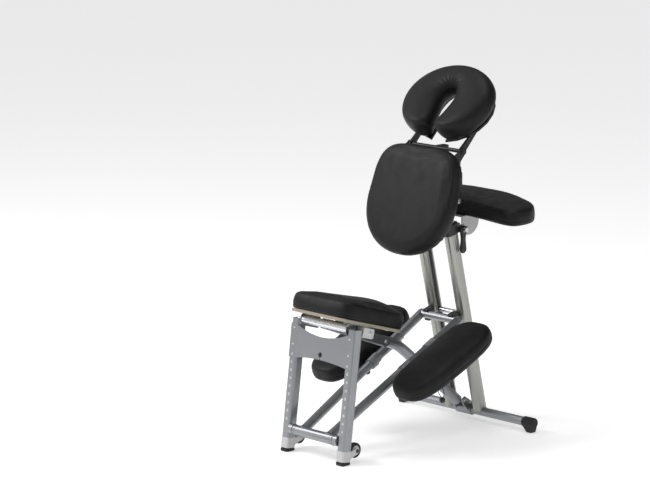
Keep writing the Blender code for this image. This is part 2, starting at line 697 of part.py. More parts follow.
def build_knee_pad(side, sign, body, pin_body):
    pad = prism(side + "_knee_cushion", superoval(PAD_HALF_W, PAD_HALF_L, 3.2, 28), PAD_T, "XY",
                radius=0.013)
    in_pad(pad, sign * PAD_X, 0.0, 0.0)
    finish(pad, VINYL, body)
    plate_n = -PAD_T / 2 - GAP - BRACKET_T / 2
    bracket = box(side + "_knee_bracket", (BRACKET_W, BRACKET_L, BRACKET_T), radius=0.012, axis=2)
    in_pad(bracket, sign * BRACKET_X, 0.0, plate_n)
    pieces = []
    for offset in (-CLAMP_OFFSET, CLAMP_OFFSET):
        s_clamp = PAD_S + offset
        low = beam_point(sign, s_clamp - 0.020)
        high = beam_point(sign, s_clamp + 0.020)
        pieces.append(tube("clamp", [low, high], CLAMP_R, resolution=3))
        foot = PAD_N + plate_n + offset * math.sin(PAD_SLOPE - BEAM_SLOPE) - 0.006
        lug = box("lug", (LUG_W, 0.030, LUG_TOP - foot), radius=0.002, axis=1)
        lug_x = abs(beam_point(sign, s_clamp).x) + 0.008
        pieces.append(in_beam(lug, sign * lug_x, s_clamp, (LUG_TOP + foot) / 2))
    join(bracket, *pieces)
    bore = [beam_point(sign, 0.15), beam_point(sign, 0.60)]
    cut(bracket, tube("bore", bore, BEAM_R + 0.0006, resolution=8))
    finish(bracket, SILVER, body)

    pin = cylinder(side + "_pull_pin", 0.0035, PULL_PIN_L, "Z", steps=12)
    in_pad(pin, sign * PULL_PIN_X, PULL_PIN_BACK, plate_n - BRACKET_T / 2 - GAP - PULL_PIN_L / 2)
    finish(pin, STEEL, pin_body)


def build_upper(body, lever_bodies):
    low_s = post_s(POST_BORE_END) + 0.010
    top_s = post_offset(YOKE)[1] - SOCKET_DROP
    for side, sign in SIDES:
        inner = prism(side + "_inner_post", stadium(POST_BORE_W / 2 - 0.0006, POST_BORE_D / 2 - 0.0006),
                      top_s - low_s, "XY")
        in_post(inner, sign * POST_X, 0.0, (low_s + top_s) / 2)
        finish(inner, ALUMINIUM, body)

    yoke = cylinder("upper_yoke", YOKE_R, 2 * YOKE_HALF, "X", (0.0, *YOKE))
    carrier = [(0.520, 0.738), (0.538, 0.738), (0.562, 0.668), (0.600, 0.6545), (0.622, 0.651),
               (0.624, 0.634), (0.600, 0.634), (0.553, 0.648), (0.528, 0.690)]
    pieces = [cylinder("pins", YOKE_PIN_R, 2 * YOKE_HALF + 0.022, "X", (0.0, *YOKE), steps=16)]
    for sign in (-1, 1):
        pieces.append(prism("carrier", carrier, 0.006, "YZ", (sign * CARRIER_X, 0.0, 0.0)))
        socket = box("socket", (0.024, 0.024, SOCKET_DROP - 0.001), radius=0.004, axis=2)
        pieces.append(in_post(socket, sign * POST_X, 0.007, top_s + GAP + SOCKET_DROP / 2))
    join(yoke, *pieces)
    cut(yoke, cylinder("bore", 0.0064, 0.08, "X", (0.0, *ARMREST_PIVOT), steps=16))
    finish(yoke, BLACK_STEEL, body)

    for side, sign in SIDES:
        lever = box(side + "_post_lever", (LEVER_T, LEVER_W, LEVER_L), radius=0.0045, segments=3)
        lever.location = (sign * LEVER_PIVOT[0], LEVER_Y, LEVER_PIVOT[1] + 0.0055 - LEVER_L / 2)
        finish(lever, BLACK_PLASTIC, lever_bodies[side])


def chest_outline(inset):
    return superoval(CHEST_W / 2 - inset, CHEST_H / 2 - inset, CHEST_POWER, 32, taper=CHEST_TAPER,
                     power_low=CHEST_POWER_LOW)


def chest_point(depth, height):
    """World (y, z) of a point behind the front face of the chest pad."""
    c, s = math.cos(CHEST_LEAN), math.sin(CHEST_LEAN)
    return (CHEST_CENTRE[0] + c * depth - s * height, CHEST_CENTRE[1] + s * depth + c * height)


def build_chest(body, lever_body):
    cushion = prism("chest_cushion", chest_outline(0.0), CHEST_T, "XZ", radius=0.012)
    in_chest(cushion, 0.0, CHEST_T / 2, 0.0)
    finish(cushion, VINYL, body)
    board = prism("board", chest_outline(0.006), CHEST_BOARD_T, "XZ", radius=0.002)
    in_chest(board, 0.0, CHEST_T + GAP + CHEST_BOARD_T / 2, 0.0)

    back_depth = CHEST_T + CHEST_BOARD_T + GAP + 0.0007
    frame = box("chest_frame", (2 * SIDE_PLATE_X, 0.0025, 0.090))
    in_chest(frame, 0.0, back_depth, 0.092)
    ty, tz = YOKE
    hy, hz = CRADLE_HINGE
    waist = [(ty + 0.006, tz + 0.040), (ty + 0.002, tz + 0.091), (hy - 0.0125, hz - 0.030)]
    outline = [*arc((ty, tz), 0.0115, -120, 10, 7), *waist, *arc((hy, hz), 0.0115, -50, 130, 8),
               chest_point(CHEST_T + 0.004, 0.160), chest_point(CHEST_T + 0.004, -0.010)]
    plates = [prism("plate", outline, SIDE_PLATE_T, "YZ", (sign * SIDE_PLATE_X, 0.0, 0.0))
              for sign in (-1, 1)]
    join(frame, *plates)
    clear = box("clear", (0.5, 0.20, 0.60))
    in_chest(clear, 0.0, CHEST_T + CHEST_BOARD_T - 0.001 - 0.10, 0.0)
    cut(frame, clear)
    join(frame, board)
    cut(frame, cylinder("bore", YOKE_PIN_R + 0.0004, 0.3, "X", (0.0, ty, tz), steps=16),
        cylinder("bore", 0.0054, 0.3, "X", (0.0, hy, hz), steps=16))
    finish(frame, BLACK_STEEL, body)

    lever = box("chest_lever", (0.006, 0.012, 0.040), radius=0.0025)
    lever.location = (SIDE_PLATE_X + SIDE_PLATE_T / 2 + 0.0005 + 0.003, 0.5310, 0.8150)
    finish(lever, BLACK_PLASTIC, lever_body)


def horseshoe(half_u, half_v, hole_u, hole_v, gap, count=20):
    """Outline of a ring open at the bottom; the opening passes right through."""
    outer = []
    inner = []
    reach = math.asin(min(1.0, gap / 2 / half_u))
    narrow = math.asin(min(1.0, gap / 2 / hole_u))
    for i in range(count + 1):
        t = i / count
        a = -math.pi / 2 + reach + t * (2 * math.pi - 2 * reach)
        b = -math.pi / 2 + narrow + t * (2 * math.pi - 2 * narrow)
        outer.append((half_u * math.cos(a), half_v * math.sin(a)))
        inner.append((hole_u * math.cos(b), hole_v * math.sin(b)))
    return outer + inner[::-1]


def in_cradle(obj, x, along, normal):
    return tilt(obj, CRADLE_SLOPE, CRADLE_CENTRE, (x, along, normal))


def build_cradle(body, lever_body):
    cushion = prism("face_cushion", horseshoe(FACE_W / 2, FACE_L / 2, FACE_HOLE_W / 2, FACE_HOLE_L / 2,
                                              FACE_GAP),
                    FACE_T, "XY", radius=0.010)
    in_cradle(cushion, 0.0, 0.0, 0.0)
    finish(cushion, VINYL, body)

    below = -FACE_T / 2 - GAP - CRADLE_BOARD_T / 2
    board = prism("cradle_board", horseshoe(FACE_W / 2 - 0.025, FACE_L / 2 - 0.020, FACE_HOLE_W / 2 + 0.012,
                                            FACE_HOLE_L / 2 + 0.012, FACE_GAP + 0.020), CRADLE_BOARD_T, "XY",
                  radius=0.0015)
    in_cradle(board, 0.0, 0.0, below)
    hy, hz = CRADLE_HINGE
    slope = Matrix.Rotation(CRADLE_SLOPE, 3, "X")
    under = below - CRADLE_BOARD_T / 2 + 0.001
    tip = Vector((0.0, *CRADLE_CENTRE)) + slope @ Vector((0.0, 0.060, under))
    heel = Vector((0.0, *CRADLE_CENTRE)) + slope @ Vector((0.0, -0.070, under))
    deep = Vector((0.0, *CRADLE_CENTRE)) + slope @ Vector((0.0, 0.060, under - 0.014))
    outline = [*arc((hy, hz), 0.0120, 150, 330, 9), (deep.y, deep.z), (tip.y, tip.z), (heel.y, heel.z)]
    inner_x = SIDE_PLATE_X - SIDE_PLATE_T / 2 - 0.0006 - 0.004
    arms = [prism("arm", outline, 0.008, "YZ", (sign * inner_x, 0.0, 0.0)) for sign in (-1, 1)]
    shaft = cylinder("shaft", CRADLE_SHAFT_R, 2 * inner_x, "X", (0.0, hy, hz), steps=20)
    pins = cylinder("pins", 0.0050, 2 * SIDE_PLATE_X + 0.012, "X", (0.0, hy, hz), steps=16)
    join(board, *arms, shaft, pins)
    board.name = "face_cradle"
    finish(board, BLACK_STEEL, body)

    lever = box("cradle_lever", (0.026, 0.050, 0.009), radius=0.003)
    lever.location = (0.0, hy + 0.020, hz + 0.0010)
    cut(lever, cylinder("bore", CRADLE_SHAFT_R + 0.0004, 0.05, "X", (0.0, hy, hz), steps=20))
    finish(lever, BLACK_PLASTIC, lever_body)


def build_armrest(body):
    bottom = ARMREST_Z - ARMREST_T / 2
    outline = [(x, y - ARMREST_BEND * x * x) for x, y in superoval(ARMREST_HALF, ARMREST_W / 2, 3.2, 40)]
    cushion = prism("armrest_cushion", outline, ARMREST_T, "XY", radius=0.012)
    cushion.location = (0.0, ARMREST_Y, ARMREST_Z)
    finish(cushion, VINYL, body)
    top_z = bottom - GAP
    bracket = box("armrest_bracket", (0.118, 0.090, 0.003))
    bracket.location = (0.0, 0.648, top_z - 0.0015)
    py, pz = ARMREST_PIVOT
    quadrant = [(0.606, top_z - 0.001), (0.6055, 0.620), *arc((0.638, 0.660), 0.047, -110, -6, 9),
                (0.6860, top_z - 0.001)]
    pieces = [prism("quadrant", quadrant, 0.004, "YZ", (sign * 0.055, 0.0, 0.0)) for sign in (-1, 1)]
    pieces.append(cylinder("pivot", 0.0060, 0.112, "X", (0.0, py, pz), steps=16))
    join(bracket, *pieces)
    finish(bracket, CASTING, body)


SIDES = (("left", -1), ("right", 1))
WORLD = {}
clear_scene()
PARTS = bpy.data.collections.new("massage_chair")
bpy.context.scene.collection.children.link(PARTS)

SILVER = new_material("frame_silver", (0.42, 0.43, 0.45), 0.38, 0.75)
POST_PAINT = new_material("post_silver", (0.40, 0.40, 0.37), 0.40, 0.75)
ALUMINIUM = new_material("bare_aluminium", (0.72, 0.73, 0.76), 0.22, 1.0)
CASTING = new_material("casting_grey", (0.55, 0.55, 0.55), 0.50, 0.30)
STEEL = new_material("bolt_steel", (0.60, 0.60, 0.62), 0.28, 1.0)
BLACK_STEEL = new_material("black_steel", (0.02, 0.02, 0.022), 0.45, 0.4)
BLACK_PLASTIC = new_material("black_plastic", (0.02, 0.02, 0.022), 0.42, 0.0)
RUBBER = new_material("black_rubber", (0.015, 0.015, 0.015), 0.75, 0.0)
VINYL = new_material("black_vinyl", (0.025, 0.025, 0.027), 0.50, 0.0)
BOARD = new_material("seat_board_ply", (0.55, 0.45, 0.32), 0.60, 0.0)


def main():
    base = empty("rear_frame", (0.0, BASE_Y, 0.0))
    base.location.y -= FOOTPRINT_Y
    build_rear_frame(base)
    knee = empty("knee_frame_pivot", (0.0, *FOLD_A), base)
    build_knee_frame(knee)
    legs = empty("leg_frame_pivot", (0.0, *FOLD_D), knee)
    build_leg_frame(legs)
    seat = empty("seat_arm_pivot", (0.0, *FOLD_C), legs)
    build_seat(seat)
    arm = empty("arm_pivot", (0.0, *FOLD_P), seat)
    build_arm(arm)
    for side, sign in SIDES:
        foot = empty(side + "_inner_leg_slide", (sign * LEG_X, *leg_point(0.0, LEG_BOTTOM)), legs)
        wheel = empty(side + "_wheel_pivot", (sign * LEG_X, WHEEL_Y, WHEEL_Z), foot)
        button = empty(side + "_button_slide", (sign * LEG_X, *leg_point(-LEG_D / 2, HOLE_TOP)), foot)
        build_foot(side, sign, foot, wheel, button)
        carrier = empty(side + "_knee_pad_slide", (sign * PAD_X, *FOLD_D), knee)
        pin = empty(side + "_pull_pin_slide", (sign * PULL_PIN_X, *FOLD_D), carrier)
        build_knee_pad(side, sign, carrier, pin)
    upper = empty("upper_slide", (0.0, *YOKE), base)
    levers = {side: empty(side + "_post_lever_pivot", (sign * LEVER_PIVOT[0], LEVER_Y, LEVER_PIVOT[1]),
                          base)
              for side, sign in SIDES}
    build_upper(upper, levers)
    chest = empty("chest_pivot", (0.0, *YOKE), upper)
    chest_lever = empty("chest_lever_pivot", (0.118, 0.5500, 0.830), chest)
    build_chest(chest, chest_lever)
    cradle = empty("cradle_pivot", (0.0, *CRADLE_HINGE), chest)
    cradle_lever = empty("cradle_lever_pivot", (0.0, *CRADLE_HINGE), cradle)
    build_cradle(cradle, cradle_lever)
    armrest = empty("armrest_pivot", (0.0, *ARMREST_PIVOT), upper)
    build_armrest(armrest)


main()
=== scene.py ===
"""Looks of the folding kneeling massage chair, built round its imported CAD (metres, +Z up)."""

import json
import math
import random

import bmesh
import bpy
import numpy as np
from mathutils import Matrix, Vector
from mathutils.bvhtree import BVHTree


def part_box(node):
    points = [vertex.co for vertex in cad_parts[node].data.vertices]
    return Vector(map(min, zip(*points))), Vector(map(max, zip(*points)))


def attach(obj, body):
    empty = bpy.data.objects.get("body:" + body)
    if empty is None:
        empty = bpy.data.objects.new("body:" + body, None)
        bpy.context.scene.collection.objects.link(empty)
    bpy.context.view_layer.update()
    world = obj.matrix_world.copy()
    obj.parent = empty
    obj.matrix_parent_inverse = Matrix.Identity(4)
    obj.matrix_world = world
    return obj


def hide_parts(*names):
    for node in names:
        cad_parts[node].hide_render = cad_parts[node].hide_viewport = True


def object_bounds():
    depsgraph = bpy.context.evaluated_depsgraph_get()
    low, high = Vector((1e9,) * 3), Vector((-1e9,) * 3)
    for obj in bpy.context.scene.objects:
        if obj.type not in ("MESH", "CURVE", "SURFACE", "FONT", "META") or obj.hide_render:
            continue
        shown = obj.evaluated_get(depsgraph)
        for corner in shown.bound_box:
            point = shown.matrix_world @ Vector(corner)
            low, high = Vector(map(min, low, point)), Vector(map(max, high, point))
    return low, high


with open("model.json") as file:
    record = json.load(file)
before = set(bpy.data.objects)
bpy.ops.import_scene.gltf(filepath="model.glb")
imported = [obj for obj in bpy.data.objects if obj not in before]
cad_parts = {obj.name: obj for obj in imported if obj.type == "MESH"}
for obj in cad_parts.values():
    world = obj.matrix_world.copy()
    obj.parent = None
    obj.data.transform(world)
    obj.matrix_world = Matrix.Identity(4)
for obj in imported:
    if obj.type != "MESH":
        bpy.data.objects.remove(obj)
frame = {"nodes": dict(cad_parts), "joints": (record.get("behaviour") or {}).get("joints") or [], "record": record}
CAD_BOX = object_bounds()
NODES = frame["nodes"]
JOINTS = {j["name"]: j for j in frame["joints"]}
SLOT_OF = {s["node"]: s["material_slot"] for s in frame["record"]["subparts"]}
SIDES = (("left", -1), ("right", 1))
X, Y, Z = Vector((1.0, 0.0, 0.0)), Vector((0.0, 1.0, 0.0)), Vector((0.0, 0.0, 1.0))

# Cushions: gaps to the CAD solid, rounding of the lower edge, voxels, cloth run, smoothing rounds,
# the share of fine wrinkle that is kept, and the stitches.
SHRINK = 0.0012
SETTLE = 0.0050
LOWER_EDGE = 0.004
VOXEL = 0.0055
CLOTH = {"quality": 5, "mass": 0.3, "tension_stiffness": 30.0, "compression_stiffness": 30.0,
         "shear_stiffness": 12.0, "bending_stiffness": 1.2, "use_pressure": True,
         "uniform_pressure_force": 4.0}
CLOTH_FRAMES = 20
SPREAD = 120
WRINKLE = 0.10
STITCH_PITCH = 0.0052
STITCH_LENGTH = 0.0034
THREAD_RADIUS = 0.00048

# Height holes of the legs: spacing, number, distance of the probing ray, turned rim.
HOLE_PITCH = 0.0254
HOLE_COUNT = 8
BESIDE_HOLE = 0.0052
RIM_PROFILE = [(0.0033, -0.0016), (0.0033, 0.0002), (0.0037, 0.0006), (0.0043, 0.0004),
               (0.0046, -0.0002), (0.0046, -0.0008), (0.0040, -0.0010)]

# Posts: wall, flute depth, depths at which the bore is ringed.
POST_WALL = 0.0038
FLUTE_DEPTH = 0.0010
POST_BORE = (0.0, 0.20, 0.385)

# Fasteners as (radius, height), and from how far off the rays that seat them start.
PIVOT_HEX = (0.0062, 0.0042)
FOLD_HEX = (0.0062, 0.0044)
CHEST_HEX = (0.0066, 0.0050)
NUT = (0.0056, 0.0040)
CLEVIS_HEX = (0.0056, 0.0038)
CLAMP_HEX = (0.0046, 0.0030)
HINGE_BUTTON = (0.0052, 0.0032)
BOARD_SCREW = (0.0045, 0.0020)
PANEL_RIVET = (0.0036, 0.0018)
CAM_PIN = (0.0040, 0.0026)
OUTSIDE_X = 0.16
PROBE = 0.05

# Pull cords and their balls.
CORD_RADIUS = 0.0013
BALL_RADIUS = 0.0098


# ---------------------------------------------------------------- small geometry helpers
def angles(count):
    """Even angles of a full turn."""
    return [2 * math.pi * k / count for k in range(count)]


def pivot(name):
    return Vector(JOINTS[name]["pos_m"])


def middle(node):
    lo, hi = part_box(node)
    return (lo + hi) / 2


def size(node):
    lo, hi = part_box(node)
    return hi - lo


def local_frame(node, want):
    """Matrix of a flat CAD solid: X stays, local Z is the normal of its largest face towards want."""
    areas = {}
    for face in NODES[node].data.polygons:
        key = tuple(round(c, 2) for c in face.normal)
        total, normal = areas.get(key, (0.0, Vector()))
        areas[key] = (total + face.area, normal + face.normal * face.area)
    facing = [v for v in areas.values() if v[1].dot(want) > 0.5 * v[1].length * want.length]
    normal = max(facing, key=lambda v: v[0])[1].normalized()
    normal.x = 0.0
    normal.normalize()
    turn = Matrix((X, normal.cross(X), normal)).transposed()
    inverse = turn.transposed()
    points = np.array([inverse @ v.co for v in NODES[node].data.vertices])
    low, high = Vector(points.min(0)), Vector(points.max(0))
    matrix = Matrix.Translation(turn @ ((low + high) / 2)) @ turn.to_4x4()
    return matrix, (high - low) / 2


def aim(direction):
    """Rotation that takes local Z to a direction."""
    return direction.to_track_quat("Z", "Y").to_matrix().to_4x4()


def bvh_of(node):
    return BVHTree.FromObject(NODES[node], bpy.context.evaluated_depsgraph_get())


def add_object(name, data):
    obj = bpy.data.objects.new(name, data)
    bpy.context.scene.collection.objects.link(obj)
    return obj


class Build:
    """Vertices and faces of one piece."""

    def __init__(self):
        self.verts = []
        self.faces = []

    def add(self, verts, faces, matrix=None):
        base = len(self.verts)
        self.verts += [matrix @ Vector(v) if matrix else Vector(v) for v in verts]
        self.faces += [tuple(base + i for i in face) for face in faces]
        return self

    def rings(self, rings, matrix=None, closed=False):
        """Skin over equal rings of points, capped unless they close on themselves."""
        count = len(rings[0])
        verts = [p for ring in rings for p in ring]
        faces = []
        last = len(rings) if closed else len(rings) - 1
        for i in range(last):
            a, b = i * count, (i + 1) % len(rings) * count
            for k in range(count):
                n = (k + 1) % count
                faces.append((a + k, a + n, b + n, b + k))
        if not closed:
            faces.append(tuple(reversed(range(count))))
            faces.append(tuple((len(rings) - 1) * count + k for k in range(count)))
        return self.add(verts, faces, matrix)

    def lathe(self, profile, matrix, steps=28):
        """Turned solid: profile rows are (radius, height) or (across flats radius, height, 6)."""
        rings = []
        for row in profile:
            radius, height = row[0], row[1]
            sides = row[2] if len(row) > 2 else 0
            ring = []
            for a in angles(steps):
                r = radius
                if sides:
                    part = math.pi / sides
                    r = radius / math.cos((a + part) % (2 * part) - part)
                ring.append((r * math.cos(a), r * math.sin(a), height))
            rings.append(ring)
        return self.rings(rings, matrix)

    def tube(self, points, radius, sides=10, closed=False, ripple=None):
        """Round rod along points; ripple(i) scales the radius of ring i."""
        points = [Vector(p) for p in points]
        count = len(points)
        rings = []
        normal = None
        for i, p in enumerate(points):
            before = points[i - 1] if i or closed else p
            after = points[(i + 1) % count] if i + 1 < count or closed else p
            along = (after - before).normalized()
            if normal is None:
                normal = along.cross(Z if abs(along.z) < 0.8 else X).normalized()
            normal = (normal - along * normal.dot(along)).normalized()
            side = along.cross(normal)
            r = radius * (ripple(i) if ripple else 1.0)
            rings.append([p + (normal * math.cos(a) + side * math.sin(a)) * r for a in angles(sides)])
        return self.rings(rings, closed=closed)

    def slab(self, outline, thickness, matrix, bevel):
        """Plate from a counter-clockwise outline in local XY, centred on Z, with eased rims."""
        centre = Vector((sum(p[0] for p in outline), sum(p[1] for p in outline))) / len(outline)
        half = thickness / 2

        def ring(inset, z):
            out = []
            for p in outline:
                away = Vector(p) - centre
                k = 1.0 - inset / max(away.length, 1e-6)
                out.append((centre.x + away.x * k, centre.y + away.y * k, z))
            return out

        rings = [ring(bevel, -half), ring(0, -half + bevel), ring(0, half - bevel), ring(bevel, half)]
        return self.rings(rings, matrix)

    def mesh(self, name):
        """Mesh of the piece with its faces turned outwards."""
        mesh = bpy.data.meshes.new(name)
        mesh.from_pydata([tuple(v) for v in self.verts], [], self.faces)
        work = bmesh.new()
        work.from_mesh(mesh)
        bmesh.ops.recalc_face_normals(work, faces=work.faces)
        work.to_mesh(mesh)
        work.free()
        return mesh

    def make(self, name, slot, body, sharp=35.0):
        """Emit the piece and let it ride on a body."""
        mesh = self.mesh(name)
        obj = add_object(name, mesh)
        mesh.shade_smooth()
        mesh.set_sharp_from_angle(angle=math.radians(sharp))
        mesh.materials.append(MATERIALS[slot])
        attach(obj, body)
        return obj


def superoval(a, b, power, count):
    """Even points round a superellipse, counter-clockwise."""
    out = []
    for t in angles(count):
        c, s = math.cos(t), math.sin(t)
        out.append((a * math.copysign(abs(c) ** (2 / power), c),
                    b * math.copysign(abs(s) ** (2 / power), s)))
    return out


# ---------------------------------------------------------------- materials
MATERIALS = {}


class Surface:
    """A node material built step by step on one Principled shader."""

    def __init__(self, name, colour, roughness, metallic=0.0):
        self.material = bpy.data.materials.new(name)
        self.material.use_nodes = True
        self.tree = self.material.node_tree
        self.shader = self.tree.nodes["Principled BSDF"]
        self.shader.inputs["Base Color"].default_value = (*colour, 1.0)
        self.shader.inputs["Metallic"].default_value = metallic
        self.shader.inputs["Roughness"].default_value = roughness
        self.coords = self.new("ShaderNodeTexCoord").outputs["Object"]
        self.colour = None
        self.base = (*colour, 1.0)
        self.normal = None
        MATERIALS[name] = self.material

    def new(self, kind, **inputs):
        node = self.tree.nodes.new(kind)
        for key, value in inputs.items():
            node.inputs[key.replace("_", " ")].default_value = value
        return node

    def link(self, a, b):
        self.tree.links.new(a, b)

    def mapped(self, scale):
        node = self.new("ShaderNodeMapping")
        node.inputs["Scale"].default_value = scale
        self.link(self.coords, node.inputs["Vector"])
        return node.outputs["Vector"]

    def noise(self, scale, detail=2.0, stretch=None):
        node = self.new("ShaderNodeTexNoise", Scale=scale, Detail=detail, Roughness=0.5)
        self.link(self.mapped(stretch) if stretch else self.coords, node.inputs["Vector"])
        return node.outputs["Fac"]

    def cells(self, scale, feature="DISTANCE_TO_EDGE", wobble=0.0):
        node = self.new("ShaderNodeTexVoronoi", Scale=scale)
        node.feature = feature
        if wobble:
            noise = self.new("ShaderNodeTexNoise", Scale=scale * 0.6, Detail=1.0)
            self.link(self.coords, noise.inputs["Vector"])
            mix = self.new("ShaderNodeMixRGB", Fac=wobble / 1000)
            self.link(self.coords, mix.inputs["Color1"])
            self.link(noise.outputs["Color"], mix.inputs["Color2"])
            self.link(mix.outputs["Color"], node.inputs["Vector"])
        else:
            self.link(self.coords, node.inputs["Vector"])
        return node.outputs["Distance"]

    def ramp(self, value, low, high, a=0.0, b=1.0):
        node = self.new("ShaderNodeMapRange")
        node.inputs["From Min"].default_value = low
        node.inputs["From Max"].default_value = high
        node.inputs["To Min"].default_value = a
        node.inputs["To Max"].default_value = b
        self.link(value, node.inputs["Value"])
        return node.outputs["Result"]

    def tint(self, value, colour):
        """Mix towards another colour by a value."""
        node = self.new("ShaderNodeMixRGB")
        if self.colour is None:
            node.inputs["Color1"].default_value = self.base
        else:
            self.link(self.colour, node.inputs["Color1"])
        node.inputs["Color2"].default_value = (*colour, 1.0)
        self.link(value, node.inputs["Fac"])
        self.colour = node.outputs["Color"]
        self.link(self.colour, self.shader.inputs["Base Color"])
        return self

    def roughen(self, value, low, high):
        self.link(self.ramp(value, 0.3, 0.7, low, high), self.shader.inputs["Roughness"])
        return self

    def bump(self, value, distance, strength=1.0):
        node = self.new("ShaderNodeBump", Distance=distance, Strength=strength)
        self.link(value, node.inputs["Height"])
        if self.normal is not None:
            self.link(self.normal, node.inputs["Normal"])
        self.normal = node.outputs["Normal"]
        self.link(self.normal, self.shader.inputs["Normal"])
        return self


def painted(name, colour, roughness, metallic, scuff):
    """Satin paint: fine orange peel, slow mottling and a few pale scuffs."""
    s = Surface(name, colour, roughness, metallic)
    slow = s.noise(9.0, 3.0)
    s.tint(s.ramp(slow, 0.35, 0.75, 0.0, 0.20), tuple(c * 0.90 for c in colour))
    s.tint(s.ramp(s.noise(60.0, 8.0, (1.0, 1.0, 0.25)), 0.66, 0.80, 0.0, 0.16), scuff)
    s.roughen(s.noise(35.0, 4.0), roughness - 0.03, roughness + 0.05)
    s.bump(s.noise(900.0, 2.0), 0.00008, 0.35)
    s.bump(s.noise(160.0, 2.0), 0.00005, 0.15)
    return s


def drawn_metal(name, colour, roughness, stretch):
    """Bare metal with drawing lines along one axis and faint smudges."""
    s = Surface(name, colour, roughness, 1.0)
    lines = s.noise(420.0, 3.0, stretch)
    s.tint(s.ramp(lines, 0.35, 0.7, 0.0, 0.45), tuple(c * 0.80 for c in colour))
    s.tint(s.ramp(s.noise(24.0, 5.0), 0.55, 0.75, 0.0, 0.35), tuple(c * 0.72 for c in colour))
    s.roughen(s.noise(40.0, 4.0), roughness - 0.05, roughness + 0.14)
    s.bump(lines, 0.00004, 0.5)
    return s


def moulded(name, colour, roughness, grain, depth):
    """Moulded plastic or rubber: fine pitted grain, faint flow marks and dust."""
    s = Surface(name, colour, roughness)
    s.tint(s.ramp(s.noise(14.0, 3.0), 0.4, 0.75, 0.0, 0.5), tuple(c * 1.7 + 0.003 for c in colour))
    s.tint(s.ramp(s.noise(230.0, 4.0), 0.62, 0.75, 0.0, 0.25), (0.10, 0.10, 0.10))
    s.roughen(s.noise(50.0, 3.0), roughness - 0.05, roughness + 0.12)
    s.bump(s.cells(grain, "F1"), depth, 0.5)
    return s


def vinyl(name, colour):
    """Leather-look upholstery vinyl: pebbled grain over fine pores with painted shade darkening the grain's
    crevices, soft sheen, slow colour drift.
    """
    s = Surface(name, colour, 0.47)
    s.tint(s.ramp(s.noise(6.0, 4.0), 0.35, 0.7, 0.0, 0.7), tuple(c * 1.5 for c in colour))
    pebble_grain_and_shade = s.cells(520.0, "DISTANCE_TO_EDGE", wobble=0.6)
    # Painted shade: colour darkened towards the cell edges, the crevices between the pebbles.
    s.tint(s.ramp(pebble_grain_and_shade, 0.0, 0.10, 0.45, 0.0), tuple(c * 0.35 for c in colour))
    s.tint(s.ramp(s.noise(45.0, 5.0), 0.60, 0.75, 0.0, 0.25), tuple(c * 2.2 for c in colour))
    s.roughen(s.noise(30.0, 4.0), 0.40, 0.55)
    s.bump(s.ramp(pebble_grain_and_shade, 0.0, 0.22, 0.0, 1.0), 0.00022, 0.55)
    s.bump(s.noise(1500.0, 2.0), 0.00008, 0.4)
    s.bump(s.noise(55.0, 3.0), 0.0006, 0.25)
    s.shader.inputs["Sheen Weight"].default_value = 0.03
    s.shader.inputs["Sheen Roughness"].default_value = 0.4
    s.shader.inputs["Specular IOR Level"].default_value = 0.24
    return s


def plywood(name):
    """Birch ply edge: thin veneer layers under pale lacquer."""
    s = Surface(name, (0.33, 0.29, 0.23), 0.55)
    layers = s.new("ShaderNodeTexWave", Scale=260.0, Distortion=1.6, Detail=2.0)
    layers.bands_direction = "Z"
    s.link(s.coords, layers.inputs["Vector"])
    s.tint(s.ramp(layers.outputs["Fac"], 0.2, 0.8, 0.0, 0.6), (0.24, 0.20, 0.15))
    grain = s.noise(60.0, 6.0, (1.0, 7.0, 7.0))
    s.tint(s.ramp(grain, 0.4, 0.7, 0.0, 0.45), (0.44, 0.40, 0.33))
    s.roughen(grain, 0.45, 0.65)
    s.bump(grain, 0.0002, 0.5)
    return s


def webbing(name, colour):
    """Woven or braided textile: crossed ribs, with a painted highlight lightening their raised crests."""
    s = Surface(name, colour, 0.8)
    for direction in ("X", "Z"):
        rib_and_highlight = s.new("ShaderNodeTexWave", Scale=320.0, Distortion=0.4)
        rib_and_highlight.bands_direction = direction
        s.link(s.coords, rib_and_highlight.inputs["Vector"])
        s.bump(rib_and_highlight.outputs["Fac"], 0.0003, 0.6)
        # Painted highlight: colour lightened where the rib is raised, along its crests.
        s.tint(s.ramp(rib_and_highlight.outputs["Fac"], 0.3, 0.8, 0.0, 0.35), tuple(c * 2.5 + 0.01 for c in colour))
    s.roughen(s.noise(200.0), 0.7, 0.9)
    return s


painted("frame_silver", (0.300, 0.309, 0.324), 0.30, 0.82, (0.42, 0.43, 0.44))
painted("post_silver", (0.37, 0.37, 0.348), 0.30, 0.85, (0.60, 0.60, 0.58))
drawn_metal("bare_aluminium", (0.74, 0.75, 0.78), 0.24, (0.06, 1.0, 1.0))
painted("casting_grey", (0.56, 0.56, 0.56), 0.50, 0.25, (0.74, 0.74, 0.73))
drawn_metal("bolt_steel", (0.66, 0.66, 0.68), 0.28, (1.0, 1.0, 1.0))
painted("black_steel", (0.020, 0.020, 0.022), 0.42, 0.35, (0.10, 0.10, 0.10))
moulded("black_plastic", (0.017, 0.017, 0.018), 0.42, 1300.0, 0.00010)
moulded("black_rubber", (0.014, 0.014, 0.014), 0.72, 700.0, 0.00018)
vinyl("black_vinyl", (0.0045, 0.0045, 0.0048))
plywood("seat_board_ply")
webbing("black_webbing", (0.012, 0.012, 0.013))
webbing("black_thread", (0.018, 0.018, 0.019))


# ---------------------------------------------------------------- carried-over CAD nodes
def dress_cad():
    """Each rigid CAD node keeps its shape, with eased edges and its slot's procedural material."""
    for name, obj in NODES.items():
        obj.data.materials.clear()
        obj.data.materials.append(MATERIALS[SLOT_OF[name]])
        weld = obj.modifiers.new("weld", "WELD")
        weld.merge_threshold = 0.00001
        ease = obj.modifiers.new("ease", "BEVEL")
        ease.width = 0.00045
        ease.segments = 2
        ease.limit_method = "ANGLE"
        ease.angle_limit = math.radians(40.0)
        ease.use_clamp_overlap = True
        ease.harden_normals = True


